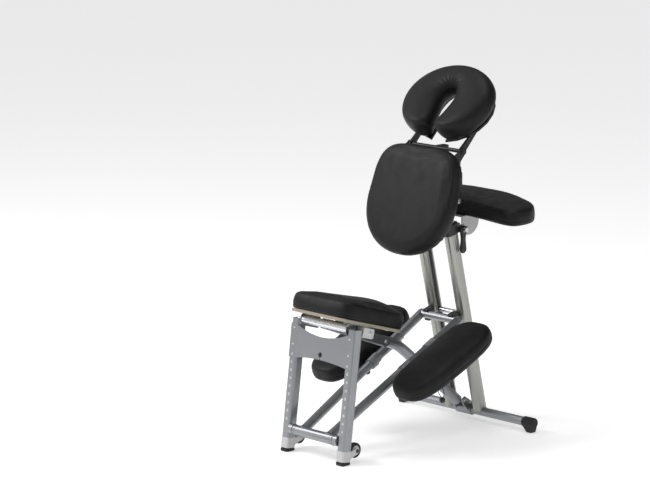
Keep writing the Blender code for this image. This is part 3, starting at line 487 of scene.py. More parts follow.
# ---------------------------------------------------------------- cushions
def loft(outline, half, edge, crown, belly):
    """Closed pad: flat underside, side wall with a belly, rounded top edge and crowned top.

    outline(scale, grow) gives ring points. crown(x, y, f) adds height to the top; f runs from 1 at
    the rim to 0 at the centre."""
    build = Build()
    rows = []
    for k in range(1, 6):
        rows.append((0.19 * k, -half, 0.0))
    for k in range(0, 4):
        a = math.pi / 2 * k / 3
        rows.append((1.0, -half + LOWER_EDGE * (1 - math.cos(a)), -LOWER_EDGE * (1 - math.sin(a))))
    wall = 2 * half - LOWER_EDGE - edge
    for k in range(1, 6):
        f = k / 6
        rows.append((1.0, -half + LOWER_EDGE + wall * f, belly * math.sin(math.pi * f)))
    for k in range(0, 7):
        a = math.pi / 2 * k / 6
        rows.append((1.0, half - edge * (1 - math.sin(a)), -edge * (1 - math.cos(a))))
    rings = [[(x, y, z) for x, y in outline(scale, grow)] for scale, z, grow in rows]
    for k in range(1, 12):
        f = 1 - k / 12
        rings.append([(x, y, half) for x, y in outline(f, -edge)])
    wall_rings = len(rings) - 11
    for i, ring in enumerate(rings):
        if i >= wall_rings - 4:
            fade = 1.0 if i >= wall_rings else (i - wall_rings + 5) / 5
            f = 1 - max(0, i - wall_rings + 1) / 12
            rings[i] = [(x, y, z + fade * crown(x, y, f)) for x, y, z in ring]
    build.rings(rings)
    return build


def swell(build, cap, floor):
    """Voxel remesh, inflate as cloth from pinned flat parts, cap the movement, subdivide once."""
    obj = add_object("pad", build.mesh("pad"))
    remesh = obj.modifiers.new("voxels", "REMESH")
    remesh.mode = "VOXEL"
    remesh.voxel_size = VOXEL
    relax = obj.modifiers.new("relax", "SMOOTH")
    relax.iterations = 4
    relax.factor = 0.5
    bake(obj)
    start = read(obj.data)
    group = obj.vertex_groups.new(name="pin")
    group.add([int(i) for i in np.nonzero(start[:, 2] < floor)[0]], 1.0, "REPLACE")
    cloth = obj.modifiers.new("cloth", "CLOTH")
    for key, value in CLOTH.items():
        setattr(cloth.settings, key, value)
    cloth.settings.effector_weights.gravity = 0.0
    cloth.settings.vertex_group_mass = "pin"
    cloth.point_cache.frame_end = CLOTH_FRAMES
    scene = bpy.context.scene
    for number in range(1, CLOTH_FRAMES + 1):
        scene.frame_set(number)
    grown = read(obj.evaluated_get(bpy.context.evaluated_depsgraph_get()).data)
    obj.modifiers.remove(cloth)
    scene.frame_set(1)
    move = grown - start
    broad = spread(obj.data, move, SPREAD)
    fine = (move - broad) * WRINKLE
    out = normals(obj.data)
    rise = np.clip((broad * out).sum(1), 0.0, cap)
    write(obj.data, start + out * rise[:, None] + fine)
    finer = obj.modifiers.new("finer", "SUBSURF")
    finer.levels = 1
    bake(obj)
    return obj


def spread(mesh, values, rounds):
    """Average vectors over neighbouring vertices, leaving only their slow change."""
    ends = np.zeros(len(mesh.edges) * 2, np.int32)
    mesh.edges.foreach_get("vertices", ends)
    a, b = ends[0::2], ends[1::2]
    count = np.bincount(ends, minlength=len(values))[:, None]
    for _ in range(rounds):
        total = np.zeros_like(values)
        np.add.at(total, a, values[b])
        np.add.at(total, b, values[a])
        values = 0.4 * values + 0.6 * total / np.maximum(count, 1)
    return values


def bake(obj):
    """Apply an object's modifiers into its mesh."""
    bpy.context.view_layer.update()
    final = bpy.data.meshes.new_from_object(obj.evaluated_get(bpy.context.evaluated_depsgraph_get()))
    obj.modifiers.clear()
    obj.data = final


def read(mesh):
    co = np.zeros(len(mesh.vertices) * 3, np.float32)
    mesh.vertices.foreach_get("co", co)
    return co.reshape(-1, 3).astype(float)


def write(mesh, co):
    mesh.vertices.foreach_set("co", co.astype(np.float32).ravel())
    mesh.update()


def normals(mesh):
    out = np.zeros(len(mesh.vertices) * 3, np.float32)
    mesh.vertex_normals.foreach_get("vector", out)
    return out.reshape(-1, 3).astype(float)


def groove(obj, measure, depth, width):
    """Pull a line into the surface where measure(points) passes zero."""
    co = read(obj.data)
    pull = depth * np.exp(-(measure(co) / width) ** 2)
    write(obj.data, co - normals(obj.data) * pull[:, None])


def place_pad(obj, name, matrix, body, node):
    """Move a finished pad from its local frame to the chair and let it stand for its CAD node."""
    obj.name = name
    obj.data.name = name
    obj.data.transform(matrix)
    obj.data.materials.clear()
    obj.data.materials.append(MATERIALS["black_vinyl"])
    obj.data.shade_smooth()
    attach(obj, body)
    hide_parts(node)


def seam(name, obj, matrix, outline, height, body):
    """Row of sewn stitches round a pad's wall at a local height, each lying on the real surface."""
    tree = BVHTree.FromObject(obj, bpy.context.evaluated_depsgraph_get())
    inverse = matrix.inverted()
    hits = []
    ring = outline(1.0, PROBE)
    for i, (x, y) in enumerate(ring):
        nx, ny = ring[(i + 1) % len(ring)]
        px, py = ring[i - 1]
        inward = Vector((-(ny - py), nx - px, 0.0)).normalized()
        start = matrix @ Vector((x, y, height))
        hit, normal, _, _ = tree.ray_cast(start, matrix.to_3x3() @ inward, PROBE * 2)
        if hit is not None:
            hits.append((inverse @ hit, inverse.to_3x3() @ normal))
    if len(hits) < 8:
        return None
    build = Build()
    travelled, due = 0.0, 0.0
    for (p, n), (q, _) in zip(hits, hits[1:] + hits[:1]):
        gap = (q - p).length
        while due < travelled + gap and gap > 1e-6 and gap < 0.03:
            spot = p.lerp(q, (due - travelled) / gap) + n * 0.00015
            along = (q - p).normalized()
            stitch(build, spot, along, n)
            due += STITCH_PITCH
        travelled += gap
        due = max(due, travelled) if gap >= 0.03 else due
    build.verts = [matrix @ v for v in build.verts]
    return build.make(name, "black_thread", body, sharp=60.0)


def stitch(build, spot, along, normal):
    """One raised thread stitch whose ends dive into the cover."""
    points = []
    for k in range(5):
        f = k / 4 - 0.5
        points.append(spot + along * STITCH_LENGTH * f + normal * THREAD_RADIUS * (1.2 - 5.5 * f * f))
    build.tube(points, THREAD_RADIUS, sides=6)


def knee_outline(half_w, half_l, sign):
    """Long rounded pad, a little fuller towards the top end."""
    def outline(scale, grow, count=96):
        ring = []
        for x, y in superoval(half_w + grow, half_l + grow, 3.2, count):
            t = y / half_l
            waist = 0.0035 * math.exp(-((t + 0.15) / 0.38) ** 2)
            if x * sign < 0:
                x += waist * sign
            ring.append((x * scale * (1.0 + 0.03 * t), y * scale))
        return ring
    return outline


def oval_outline(a, b, power):
    def outline(scale, grow, count=112):
        return [(x * scale, y * scale) for x, y in superoval(a + grow, b + grow, power, count)]
    return outline


def chest_outline(a, b):
    """Shield: nearly straight top with rounded corners and a full round bottom."""
    def outline(scale, grow, count=128):
        ring = []
        for t in angles(count):
            c, s = math.cos(t), math.sin(t)
            power = 4.2 if s > 0 else 2.2
            x = (a + grow) * math.copysign(abs(c) ** (2 / power), c)
            y = (b + grow) * math.copysign(abs(s) ** (2 / power), s)
            taper = 1.0 - 0.055 * max(0.0, y / b) ** 1.2
            ring.append((x * taper * scale, y * scale))
        return ring
    return outline


def crescent_outline(a, half_y, bend=0.97):
    """Long rounded pad whose two ends curve back, as deep as its box allows."""
    low, high = 0.0, half_y
    for _ in range(30):
        b = (low + high) / 2
        ys = [y - bend * x * x for x, y in superoval(a, b, 3.2, 120)]
        if max(ys) - min(ys) > 2 * half_y:
            high = b
        else:
            low = b
    shift = -(max(ys) + min(ys)) / 2

    def outline(scale, grow, count=160):
        ring = []
        for x, y in superoval(a + grow, b + grow, 3.2, count):
            x *= scale
            ring.append((x, y * scale - bend * x * x + shift))
        return ring
    return outline


def cushion(name, node, want, body, make_outline, edge, belly, crown, cap, seams, crease):
    """One upholstered pad from its CAD solid: loft, cloth, grooves and stitched seams."""
    matrix, half = local_frame(node, want)
    outline = make_outline(half.x - SHRINK, half.y - SHRINK)
    build = loft(outline, half.z - SETTLE / 2, edge, crown(half), belly)
    build.verts = [v - Vector((0.0, 0.0, SETTLE / 2)) for v in build.verts]
    pad = swell(build, cap, floor=-half.z + 0.0012)
    co = read(pad.data)
    side = np.abs(co[:, 2]) < half.z - LOWER_EDGE
    for level, depth, width in seams:
        groove(pad, lambda p, z=level * half.z: np.where(side, p[:, 2] - z, 1.0), depth, width)
    if crease:
        groove(pad, lambda p: np.where(p[:, 2] > half.z - edge * 1.4,
                                       rim_distance(p, outline) - edge * 0.9, 1.0), crease, 0.0045)
    place_pad(pad, name, matrix, body, node)
    for number, (level, _, _) in enumerate(seams):
        seam(name + "_stitches_" + "ab"[number], pad, matrix, outline, level * half.z + 0.0028, body)


def rim_distance(points, outline):
    """How far points lie inside the pad's outline, measured in its plane."""
    ring = np.array(outline(1.0, 0.0, 160))
    gaps = np.linalg.norm(points[:, None, :2] - ring[None, :, :], axis=2)
    return gaps.min(1)


def even_crown(height):
    return lambda half: lambda x, y, f: height * (1 - f ** 2.4)


def seat_crown(half):
    """Saddle form: low along the rear edge, a broad hump across the front edge."""
    def crown(x, y, f):
        t = min(1.0, max(0.0, (y / half.y + 1) / 2))
        across = max(0.0, 1 - abs(x / half.x) ** 2.2)
        ends = max(0.0, 1 - abs(y / half.y) ** 6)
        return across * ends * (0.003 + 0.017 * t ** 1.3) - 0.010 * (1 - across) * t
    return crown


def build_cushions():
    back = Vector((0, -1, 0.2))
    cushion("seat_pad", "seat_cushion", Z, "seat", lambda a, b: oval_outline(a, b, 6.0), 0.012, 0.002,
            seat_crown, 0.007, [(-0.55, 0.0012, 0.0028)], 0.0006)
    for side, sign in SIDES:
        cushion(side + "_knee_pad_cover", side + "_knee_cushion", Z, side + "_knee_pad",
                lambda a, b, g=sign: knee_outline(a, b, g), 0.011, 0.002, even_crown(0.006), 0.007,
                [(-0.30, 0.0014, 0.0028)], 0.0008)
    cushion("chest_pad", "chest_cushion", back, "chest", chest_outline, 0.012, 0.002,
            even_crown(0.004), 0.006, [(-0.55, 0.0012, 0.0028)], 0.0006)
    cushion("armrest_pad", "armrest_cushion", Z, "armrest", crescent_outline, 0.014, 0.002,
            even_crown(0.006), 0.007, [(-0.42, 0.0014, 0.0028)], 0.0007)
    build_face_cushion()


def build_face_cushion():
    """Thick horseshoe swept round the face opening, gathered at the top of the hole."""
    matrix, half = local_frame("face_cushion", Vector((0, -1, 1)))
    width, length, depth = half.x - SHRINK, half.y - SHRINK, half.z - SHRINK
    hole, hole_top, mouth_gap = 0.028, 0.044, 0.005
    start = math.radians(21.0)
    steps = 72
    rings = []
    for i in range(steps + 1):
        f = i / steps
        t = -math.pi / 2 + start + (2 * math.pi - 2 * start) * f
        c, s = math.cos(t), math.sin(t)
        rim = Vector((width * c, length * s, 0.0))
        if s > 0:
            lip = Vector((hole * c, hole_top * s, 0.0))
        else:
            share = abs(s) ** 1.3
            lip = Vector((math.copysign(hole + (mouth_gap - hole) * share, c), length * 0.84 * s, 0.0))
        centre, out = (rim + lip) / 2, (rim - lip) / 2
        end = min(1.0, min(f, 1 - f) / 0.05)
        shut = 0.45 + 0.55 * math.sqrt(max(0.0, 1 - (1 - end) ** 2))
        ring = []
        for a in angles(36):
            ca, sa = math.cos(a), math.sin(a)
            u = shut * math.copysign(abs(ca) ** 0.82, ca)
            w = shut * math.copysign(abs(sa) ** 0.84, sa)
            ring.append(centre + out * u + Vector((0.0, 0.0, w * depth)))
        rings.append(ring)
    build = Build()
    build.rings(rings)
    pad = swell(build, 0.007, floor=-depth + LOWER_EDGE)
    co = read(pad.data)
    mouth = Vector((0.0, hole_top * 0.75, 0.0))
    flat = co[:, :2] - np.array([mouth.x, mouth.y])
    angle = np.arctan2(flat[:, 1], flat[:, 0])
    reach = np.linalg.norm(flat, axis=1)
    fold = np.cos(angle * 17 + 0.9 * np.sin(angle * 3)) * np.exp(-((reach - 0.024) / 0.020) ** 2)
    upper = 1 / (1 + np.exp(-(np.sin(angle) - 0.05) * 9))
    write(pad.data, co - normals(pad.data) * (0.0021 * fold * upper)[:, None])
    groove(pad, lambda p: np.where(p[:, 2] < depth * 0.3, p[:, 2] + depth * 0.45, 1.0), 0.0012, 0.0030)
    place_pad(pad, "face_pad", matrix, "face_cradle", "face_cushion")
    rim = oval_outline(width, length, 2.0)
    seam("face_pad_stitches", pad, matrix, rim, -depth * 0.40, "face_cradle")


# ---------------------------------------------------------------- frame details
def screw(build, spot, axis, radius, height, kind="button"):
    """Fastener head standing on a surface: washer plus button, hex or rivet head."""
    matrix = Matrix.Translation(spot) @ aim(axis)
    if kind == "rivet":
        rows = [(radius, 0.0), (radius, height * 0.25), (radius * 0.86, height * 0.7),
                (radius * 0.5, height * 0.95), (radius * 0.1, height)]
        build.lathe(rows, matrix, 20)
        return
    washer = radius * 1.35
    build.lathe([(washer, 0.0), (washer, 0.0008), (washer * 0.94, 0.0010), (radius * 0.7, 0.0010)],
                matrix, 28)
    if kind == "hex":
        rows = [(radius * 0.87, 0.0010, 6), (radius * 0.87, height * 0.86, 6), (radius * 0.80, height),
                (radius * 0.1, height)]
    else:
        rows = [(radius, 0.0010), (radius, height * 0.45), (radius * 0.9, height * 0.8),
                (radius * 0.62, height), (radius * 0.46, height, 6),
                (radius * 0.44, height * 0.42, 6), (radius * 0.08, height * 0.40)]
    build.lathe(rows, matrix, 36)


def surface_spot(node, start, direction):
    """Point where a ray meets a CAD node."""
    hit, _, _, _ = bvh_of(node).ray_cast(start, direction, 1.0)
    return hit if hit is not None else start


def stick(build, node, start, direction, radius, height, kind="button"):
    """Fastener where a ray meets a node; nothing where it misses."""
    hit, normal, _, _ = bvh_of(node).ray_cast(start, direction, 1.0)
    if hit is not None:
        screw(build, hit, normal, radius, height, kind)


def side_face(node, point, sign, offset=0.0095):
    """X of a node's outer side face beside a pivot, looked for round its bore."""
    tree = bvh_of(node)
    found = []
    for a in angles(8):
        start = Vector((sign * 0.4, point.y + offset * math.cos(a), point.z + offset * math.sin(a)))
        hit, _, _, _ = tree.ray_cast(start, X * -sign, 0.8)
        if hit is not None and hit.x * sign > 0:
            found.append(hit.x * sign)
    return sign * max(found) if found else None


def pivot_bolt(build, node, point, sign, radius, height, offset=0.0095):
    """Bolt head on the outer side of a node, centred on a pivot."""
    x = side_face(node, point, sign, offset)
    if x is not None:
        screw(build, Vector((x, point.y, point.z)), X * sign, radius, height, "hex")


def fluted_post(side):
    """Oval extrusion with shallow flutes along its broad faces, standing for the plain CAD post."""
    node = side + "_post"
    axis = Vector(JOINTS["post_height"]["axis"]).normalized()
    depth_dir = axis.cross(X) * -1
    co = read(NODES[node].data)
    along = co @ np.array(axis)
    low, high = along.min(), along.max()
    centre = middle(node)
    ring_points = co[along > high - 0.004]
    across = ring_points @ np.array(depth_dir)
    mid_x, mid_d = centre.x, (across.max() + across.min()) / 2
    half_x = (ring_points[:, 0].max() - ring_points[:, 0].min()) / 2
    half_d = (across.max() - across.min()) / 2

    def section(inset, flutes):
        out = []
        for x, d in superoval(half_x - inset, half_d - inset, 2.5, 120):
            if flutes and abs(d) < half_d * 0.62:
                dip = FLUTE_DEPTH * max(0.0, math.cos(d / half_d * 5 * math.pi / 0.62 / 2 * 1.2)) ** 2
                x -= math.copysign(dip, x)
            out.append((x, d))
        return out

    outer, inner = section(0.0, True), section(POST_WALL, False)
    bar_tree = bvh_of("base_bar")
    build = Build()

    def lift(x, d, s):
        return X * (mid_x + x) + depth_dir * (mid_d + d) + axis * s

    bottom = []
    for x, d in outer:
        start = lift(x, d, high)
        hit, _, _, _ = bar_tree.ray_cast(start, -axis, 2.0)
        bottom.append(max(low, (hit - X * hit.x).dot(axis) + 0.0004) if hit is not None else low + 0.003)
    rings = [[lift(x, d, s) for (x, d), s in zip(outer, bottom)]]
    for k in range(1, 13):
        rings.append([lift(x, d, s + (high - s) * k / 12) for (x, d), s in zip(outer, bottom)])
    for deep in POST_BORE:
        rings.append([lift(x, d, high - deep) for x, d in inner])
    build.rings(rings)
    post = build.make(side + "_fluted_post", "post_silver", "rear_frame", 30.0)
    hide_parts(node)
    foot = [lift(x, d, s) for (x, d), s in zip(outer, bottom)][::2]
    rippled_ring(side + "_post_weld", foot, "post_silver", "rear_frame")


def rippled_ring(name, points, slot, body, radius=0.0018):
    """Closed bead of weld with small steps along it."""
    rng = random.Random(name)
    steps = [rng.uniform(0.85, 1.15) for _ in points]
    bead = Build()
    bead.tube(points, radius, 8, True, lambda i: steps[i])
    return bead.make(name, slot, body, 60.0)


def weld_bead(name, body, node, centre, axis, radius):
    """Rippled bead where a round tube, followed back along its axis, runs into a CAD node."""
    side = axis.cross(Vector((0.3, 0.9, 0.2))).normalized()
    other = axis.cross(side)
    tree = bvh_of(node)
    points = []
    for a in angles(72):
        start = centre + (side * math.cos(a) + other * math.sin(a)) * (radius + 0.0012)
        hit, normal, _, _ = tree.ray_cast(start, -axis, 0.12)
        if hit is None:
            return None
        points.append(hit + normal * 0.0002)
    return rippled_ring(name, points, SLOT_OF[node], body)


def build_posts():
    """Posts with their welds, and the welds of the beams and of the clevis."""
    low, high = pivot("leg_frame_fold"), pivot("knee_frame_fold")
    base = middle("base_bar")
    for side, sign in SIDES:
        fluted_post(side)
        along = Vector((sign * 0.024, high.y - low.y, high.z - low.z)).normalized()
        start = Vector((sign * 0.055, low.y, low.z)) + along * 0.06
        weld_bead(side + "_beam_weld", "knee_frame", "knee_frame", start, along, 0.0146)
        ring = [Vector((sign * 0.0316, base.y + 0.0160 * math.cos(a), base.z + 0.0160 * math.sin(a)))
                for a in angles(48)]
        rippled_ring(side + "_clevis_weld", ring, "frame_silver", "rear_frame")


def build_legs():
    """Rims of the height holes, panel rivets, hinge screws and clamp rings of the leg frame."""
    for side, sign in SIDES:
        down = Vector(JOINTS[side + "_leg_extension"]["axis"]).normalized()
        first = middle(side + "_snap_button")
        face = X.cross(down)
        if face.y > 0:
            face.negate()
        rims = Build()
        for k in range(HOLE_COUNT):
            start = first + down * HOLE_PITCH * k + X * BESIDE_HOLE + face * PROBE
            spot = surface_spot(side + "_leg_tube", start, -face) - X * BESIDE_HOLE
            rims.lathe(RIM_PROFILE, Matrix.Translation(spot) @ aim(face), 24)
        rims.make(side + "_hole_rims", "bare_aluminium", "leg_frame")
        block = Build()
        start = middle(side + "_hinge_block") + Vector((sign * 0.06, 0.006, 0.0))
        stick(block, side + "_hinge_block", start, X * -sign, *HINGE_BUTTON)
        block.make(side + "_hinge_screw", "bolt_steel", "leg_frame")
    low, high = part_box("front_panel")
    rivets = Build()
    face = X.cross(Vector(JOINTS["left_leg_extension"]["axis"]))
    face = face if face.y < 0 else -face
    for sign in (-1, 1):
        for height in (0.10, 0.40, 0.88):
            start = Vector((sign * 0.1185, low.y - PROBE, low.z + (high.z - low.z) * height))
            stick(rivets, "front_panel", start, Y, *PANEL_RIVET, "rivet")
    rivets.make("panel_rivets", "bolt_steel", "leg_frame")
    fold = pivot("leg_frame_fold")
    for side, sign in SIDES:
        ring = Build()
        points = [Vector((sign * 0.086, fold.y + math.cos(a) * 0.0170, fold.z + math.sin(a) * 0.0170))
                  for a in angles(40)]
        ring.tube(points, 0.0011, 8, True)
        ring.make(side + "_sleeve_ring", "frame_silver", "knee_frame")


def build_wheels():
    """Grooved tyres, standing for the plain CAD ones."""
    for side, _ in SIDES:
        node = side + "_wheel_tyre"
        centre, extent = middle(node), size(node)
        radius, half = extent.z / 2, extent.x / 2
        hub_radius = size(side + "_wheel_hub").z / 2 + 0.0003
        profile = [(hub_radius, -half), (radius - 0.0035, -half), (radius - 0.0010, -half + 0.0016),
                   (radius, -half + 0.0036), (radius, -0.0022), (radius - 0.0011, -0.0016),
                   (radius - 0.0011, 0.0016), (radius, 0.0022), (radius, half - 0.0036),
                   (radius - 0.0010, half - 0.0016), (radius - 0.0035, half), (hub_radius, half)]
        rings = []
        for a in angles(72):
            rings.append([centre + Vector((x, r * math.cos(a), r * math.sin(a))) for r, x in profile])
        tyre = Build().rings(rings, closed=True).make(side + "_tyre", "black_rubber", side + "_wheel", 40.0)
        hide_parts(node)


def build_cords():
    """Pull cord with its ball under each knee pad."""
    for side, sign in SIDES:
        axis = Vector(JOINTS[side + "_pull_pin_pull"]["axis"]).normalized()
        tip = middle(side + "_pull_pin") + axis * 0.0115
        guide = tip + (Vector((0.0, 0.070, -0.026)) if sign > 0 else Vector((0.0, 0.006, -0.003)))
        ball = tip + (Vector((0.0, 0.0825, -0.0764)) if sign > 0 else Vector((0.0, 0.004, -0.014)))
        lead = []
        for k in range(13):
            f = k / 12
            lead.append(tip.lerp(guide, f) - Z * 0.010 * math.sin(f * math.pi))
        loop = []
        for k in range(25):
            a = k / 24 * 2 * math.pi
            loop.append(guide.lerp(ball + Vector((0, 0, 0.009)), (1 - math.cos(a)) / 2)
                        + Vector((sign * 0.007, 0.005, 0.0)) * math.sin(a))
        cord = Build()
        cord.tube(lead, CORD_RADIUS, 8)
        cord.tube(loop, CORD_RADIUS, 8)
        cord.make(side + "_pull_cord", "black_webbing", side + "_pull_pin")
        rows = []
        for k in range(13):
            a = math.pi * k / 12
            rows.append((max(0.0008, BALL_RADIUS * math.sin(a)), -BALL_RADIUS * math.cos(a) * 0.95))
        knob = Build()
        knob.lathe(rows[:6] + [(0.0094, -0.0004), (0.0094, 0.0004)] + rows[7:], Matrix.Translation(ball), 32)
        knob.make(side + "_pull_ball", "black_plastic", side + "_pull_pin")


def build_fasteners():
    """Bolts at the pivots, on the side plates and on the knee pad clamps."""
    seat_bolts = Build()
    plate = middle("right_seat_plate")
    for side, sign in SIDES:
        pivot_bolt(seat_bolts, "seat_support", pivot("arm_fold"), sign, *PIVOT_HEX)
        for dy, dz, radius, height in ((0.022, 0.001, 0.0034, 0.0022), (-0.004, 0.008, 0.0030, 0.0020)):
            start = Vector((sign * OUTSIDE_X, plate.y + dy, plate.z + dz))
            stick(seat_bolts, side + "_seat_plate", start, X * -sign, radius, height)
    seat_bolts.make("seat_bolts", "bolt_steel", "seat")
    leg_nuts = Build()
    for side, sign in SIDES:
        pivot_bolt(leg_nuts, side + "_hinge_block", pivot("seat_fold"), sign, *NUT, 0.0070)
    if leg_nuts.verts:
        leg_nuts.make("seat_hinge_nuts", "bolt_steel", "leg_frame")
    fold_bolts = Build()
    low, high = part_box("arm_clevis")
    for side, sign in SIDES:
        pivot_bolt(fold_bolts, side + "_fold_bracket", pivot("knee_frame_fold"), sign, *FOLD_HEX)
        start = Vector((sign * 0.06, low.y + 0.012, high.z - 0.012))
        stick(fold_bolts, "arm_clevis", start, X * -sign, *CLEVIS_HEX, "hex")
    fold_bolts.make("fold_bolts", "bolt_steel", "rear_frame")
    chest_bolts = Build()
    tilt, hinge = pivot("chest_tilt"), pivot("face_cradle_tilt")
    for sign in (-1, 1):
        pivot_bolt(chest_bolts, "chest_frame", tilt, sign, *CHEST_HEX)
        for share, radius in ((0.34, 0.0040), (0.52, 0.0034), (0.70, 0.0034)):
            spot = tilt.lerp(hinge, share)
            start = Vector((sign * OUTSIDE_X, spot.y - 0.004, spot.z))
            stick(chest_bolts, "chest_frame", start, X * -sign, radius, radius * 0.62)
    chest_bolts.make("chest_bolts", "bolt_steel", "chest")
    discs = Build()
    for sign in (-1, 1):
        x = side_face("chest_frame", hinge, sign, 0.0085)
        matrix = Matrix.Translation(Vector((x, hinge.y, hinge.z))) @ aim(X * sign)
        discs.lathe([(0.0110, 0.0), (0.0110, 0.0022), (0.0104, 0.0030), (0.0082, 0.0030), (0.0078, 0.0018),
                     (0.0064, 0.0018), (0.0062, 0.0046), (0.0048, 0.0054), (0.0006, 0.0054)], matrix, 32)
    discs.make("cradle_hinge_caps", "black_plastic", "chest")
    rest = Build()
    for sign in (-1, 1):
        pivot_bolt(rest, "armrest_bracket", pivot("armrest_tilt"), sign, *PIVOT_HEX)
    rest.make("armrest_bolts", "bolt_steel", "armrest")
    for side, sign in SIDES:
        clamps = Build()
        low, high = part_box(side + "_knee_bracket")
        x = middle(side + "_pull_pin").x + sign * 0.02
        for share in (0.22, 0.78):
            start = Vector((x, low.y + (high.y - low.y) * share, low.z - PROBE))
            stick(clamps, side + "_knee_bracket", start, Z, *CLAMP_HEX, "hex")
        clamps.make(side + "_clamp_bolts", "bolt_steel", side + "_knee_pad")


def build_board_hardware():
    """Countersunk screws through the boards into the pads, seen from below and behind."""
    seat = Build()
    low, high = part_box("seat_board")
    for x in (-0.085, 0.085):
        for f in (0.20, 0.52, 0.84):
            start = Vector((x, low.y + (high.y - low.y) * f, low.z - PROBE))
            stick(seat, "seat_board", start, Z, *BOARD_SCREW)
    seat.make("seat_board_screws", "bolt_steel", "seat")
    back = Build()
    centre = middle("chest_cushion")
    for x in (-0.135, 0.135):
        for dz in (-0.105, -0.02, 0.075):
            start = Vector((x, centre.y + 0.15, centre.z + dz))
            stick(back, "chest_frame", start, -Y, *BOARD_SCREW)
    back.make("chest_board_screws", "bolt_steel", "chest")


def build_levers():
    """Waisted post levers with a ribbed grip, their cam barrels and pins."""
    for side, sign in SIDES:
        node = side + "_post_lever"
        p = pivot(side + "_post_lever_open")
        low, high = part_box(node)
        half_w = (high.y - low.y) / 2
        outline = []
        for k in range(13):
            a = math.pi + math.pi * k / 12
            outline.append((half_w * math.cos(a), low.z + half_w + half_w * math.sin(a)))
        grip = [(half_w * 0.80, 0.45), (half_w * 0.76, 0.62), (half_w * 0.88, 0.80), (half_w, 0.90)]
        rows = [(w, low.z + (high.z - low.z) * f) for w, f in grip]
        top = [(half_w * math.cos(a), high.z - half_w * 0.6 + half_w * 0.6 * math.sin(a))
               for a in (math.pi * k / 10 for k in range(11))]
        outline += rows + top + [(-w, z) for w, z in reversed(rows)]
        centre_x, centre_y = (low.x + high.x) / 2, (low.y + high.y) / 2
        matrix = Matrix(((0, 0, 1, centre_x), (1, 0, 0, centre_y), (0, 1, 0, 0), (0, 0, 0, 1)))
        lever = Build()
        lever.slab(outline, high.x - low.x - 0.0004, matrix, 0.0030)
        for k in range(5):
            z = low.z + 0.016 + 0.0052 * k
            ends = [Vector((centre_x, centre_y + half_w * share, z)) for share in (-0.62, 0.62)]
            lever.tube([e + X * sign * ((high.x - low.x) / 2 - 0.0006) for e in ends], 0.0011, 8)
        grip_piece = lever.make(side + "_lever_grip", "black_plastic", side + "_post_lever")
        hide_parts(node)
        collar_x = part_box(side + "_post_collar")[sign > 0].x
        inner_x = low.x if sign > 0 else high.x
        barrel = Build()
        barrel.lathe([(0.0070, 0.0), (0.0070, abs(inner_x - collar_x) - 0.0003)],
                     Matrix.Translation((collar_x, p.y, p.z)) @ aim(X * sign), 28)
        barrel.make(side + "_cam_barrel", "bolt_steel", "rear_frame")
        cam = Build()
        outer_x = high.x if sign > 0 else low.x
        screw(cam, Vector((outer_x - sign * 0.0003, p.y, p.z - 0.003)), X * sign, *CAM_PIN)
        cam.make(side + "_cam_pin", "bolt_steel", side + "_post_lever")


# ---------------------------------------------------------------- room, light and camera
VIEW_AZIMUTH = math.radians(44.03)
VIEW_ELEVATION = math.radians(11.89)
VIEW_DISTANCE = 9.35
AIM_OFFSET_Y = -0.160
AIM_HEIGHT = 0.571
AIM_RIGHT = math.radians(0.8094)
AIM_DOWN = math.radians(0.3784)
LENS_MM = 168.0
BACKDROP = 1.05
FLOOR_GLOW = 0.42


def area_light(name, spot, target, width, power):
    data = bpy.data.lights.new(name, "AREA")
    data.shape = "RECTANGLE"
    data.size = width
    data.size_y = width * 0.7
    data.energy = power
    obj = add_object(name, data)
    obj.location = spot
    obj.rotation_euler = (target - Vector(spot)).to_track_quat("-Z", "Y").to_euler()


def studio_backdrop(tree):
    """White to the camera; for light and reflections a soft gradient, bright above and dim to one side."""
    shade = tree.nodes["Background"]
    coords = tree.nodes.new("ShaderNodeTexCoord")
    split = tree.nodes.new("ShaderNodeSeparateXYZ")
    tree.links.new(coords.outputs["Generated"], split.inputs["Vector"])

    def ramp(value, *limits):
        node = tree.nodes.new("ShaderNodeMapRange")
        for socket, limit in zip(("From Min", "From Max", "To Min", "To Max"), limits):
            node.inputs[socket].default_value = limit
        tree.links.new(value, node.inputs["Value"])
        return node.outputs["Result"]

    height = ramp(split.outputs["Z"], -0.3, 0.9, 0.22, 0.90)
    front = tree.nodes.new("ShaderNodeVectorMath")
    front.operation = "DOT_PRODUCT"
    tree.links.new(coords.outputs["Generated"], front.inputs[0])
    front.inputs[1].default_value = (-0.6, -0.8, 0.0)
    aside = ramp(front.outputs["Value"], -0.3, 0.6, 0.22, 1.05)
    product = tree.nodes.new("ShaderNodeMath")
    product.operation = "MULTIPLY"
    tree.links.new(height, product.inputs[0])
    tree.links.new(aside, product.inputs[1])
    path = tree.nodes.new("ShaderNodeLightPath")
    choice = tree.nodes.new("ShaderNodeMix")
    tree.links.new(path.outputs["Is Camera Ray"], choice.inputs["Factor"])
    tree.links.new(product.outputs["Value"], choice.inputs["A"])
    choice.inputs["B"].default_value = BACKDROP
    tree.links.new(choice.outputs["Result"], shade.inputs["Strength"])
    shade.inputs["Color"].default_value = (1.0, 1.0, 1.0, 1.0)


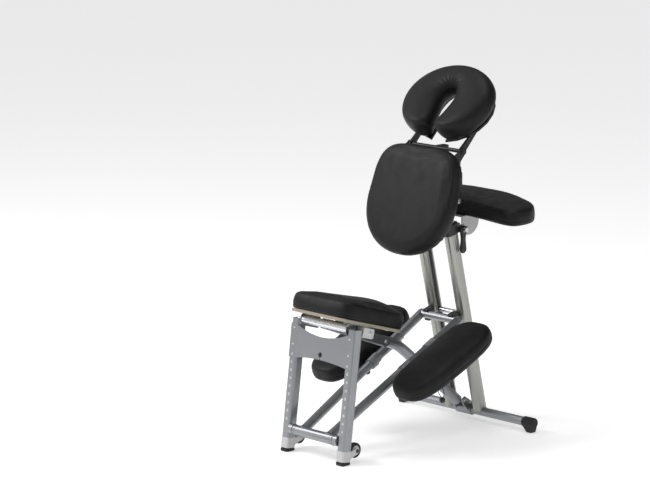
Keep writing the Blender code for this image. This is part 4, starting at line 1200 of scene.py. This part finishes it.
def build_stage():
    low, high = CAD_BOX
    centre = (low + high) / 2
    corners = [(-14, -14), (14, -14), (14, 14), (-14, 14)]
    floor = Build()
    floor.rings([[(x, y, z) for x, y in corners] for z in (0, -0.02)],
                Matrix.Translation((0, 0, low.z - 0.0004)))
    mesh = bpy.data.meshes.new("floor")
    mesh.from_pydata([tuple(v) for v in floor.verts], [], floor.faces)
    ground = add_object("floor", mesh)
    s = Surface("floor_paper", (0.93, 0.93, 0.93), 0.85)
    s.tint(s.ramp(s.noise(1.2, 3.0), 0.35, 0.7, 0.0, 0.25), (0.90, 0.90, 0.90))
    s.shader.inputs["Emission Color"].default_value = (1.0, 1.0, 1.0, 1.0)
    s.shader.inputs["Emission Strength"].default_value = FLOOR_GLOW
    mesh.materials.append(s.material)
    world = bpy.data.worlds.new("studio")
    world.use_nodes = True
    studio_backdrop(world.node_tree)
    bpy.context.scene.world = world
    area_light("key", (-2.4, -2.6, 3.2), centre, 2.0, 100.0)
    area_light("fill", (4.0, 0.4, 2.2), centre, 1.8, 32.0)
    area_light("top", (0.0, 0.6, 4.2), centre, 1.6, 26.0)
    bpy.context.scene.view_settings.view_transform = "Standard"


def build_camera():
    target = Vector((0.0, AIM_OFFSET_Y, AIM_HEIGHT))
    back = Vector((math.sin(VIEW_AZIMUTH) * math.cos(VIEW_ELEVATION),
                   -math.cos(VIEW_AZIMUTH) * math.cos(VIEW_ELEVATION), math.sin(VIEW_ELEVATION)))
    data = bpy.data.cameras.new("camera")
    data.sensor_width = 36.0
    data.lens = LENS_MM
    data.clip_end = 100.0
    camera = add_object("camera", data)
    look = (-back).to_track_quat("-Z", "Y").to_matrix()
    turn = Matrix.Rotation(AIM_RIGHT, 3, "Y") @ Matrix.Rotation(AIM_DOWN, 3, "X")
    camera.matrix_world = Matrix.Translation(target + back * VIEW_DISTANCE) @ (look @ turn).to_4x4()
    bpy.context.scene.camera = camera


dress_cad()
build_cushions()
build_posts()
build_legs()
build_wheels()
build_cords()
build_fasteners()
build_board_hardware()
build_levers()
build_stage()
build_camera()
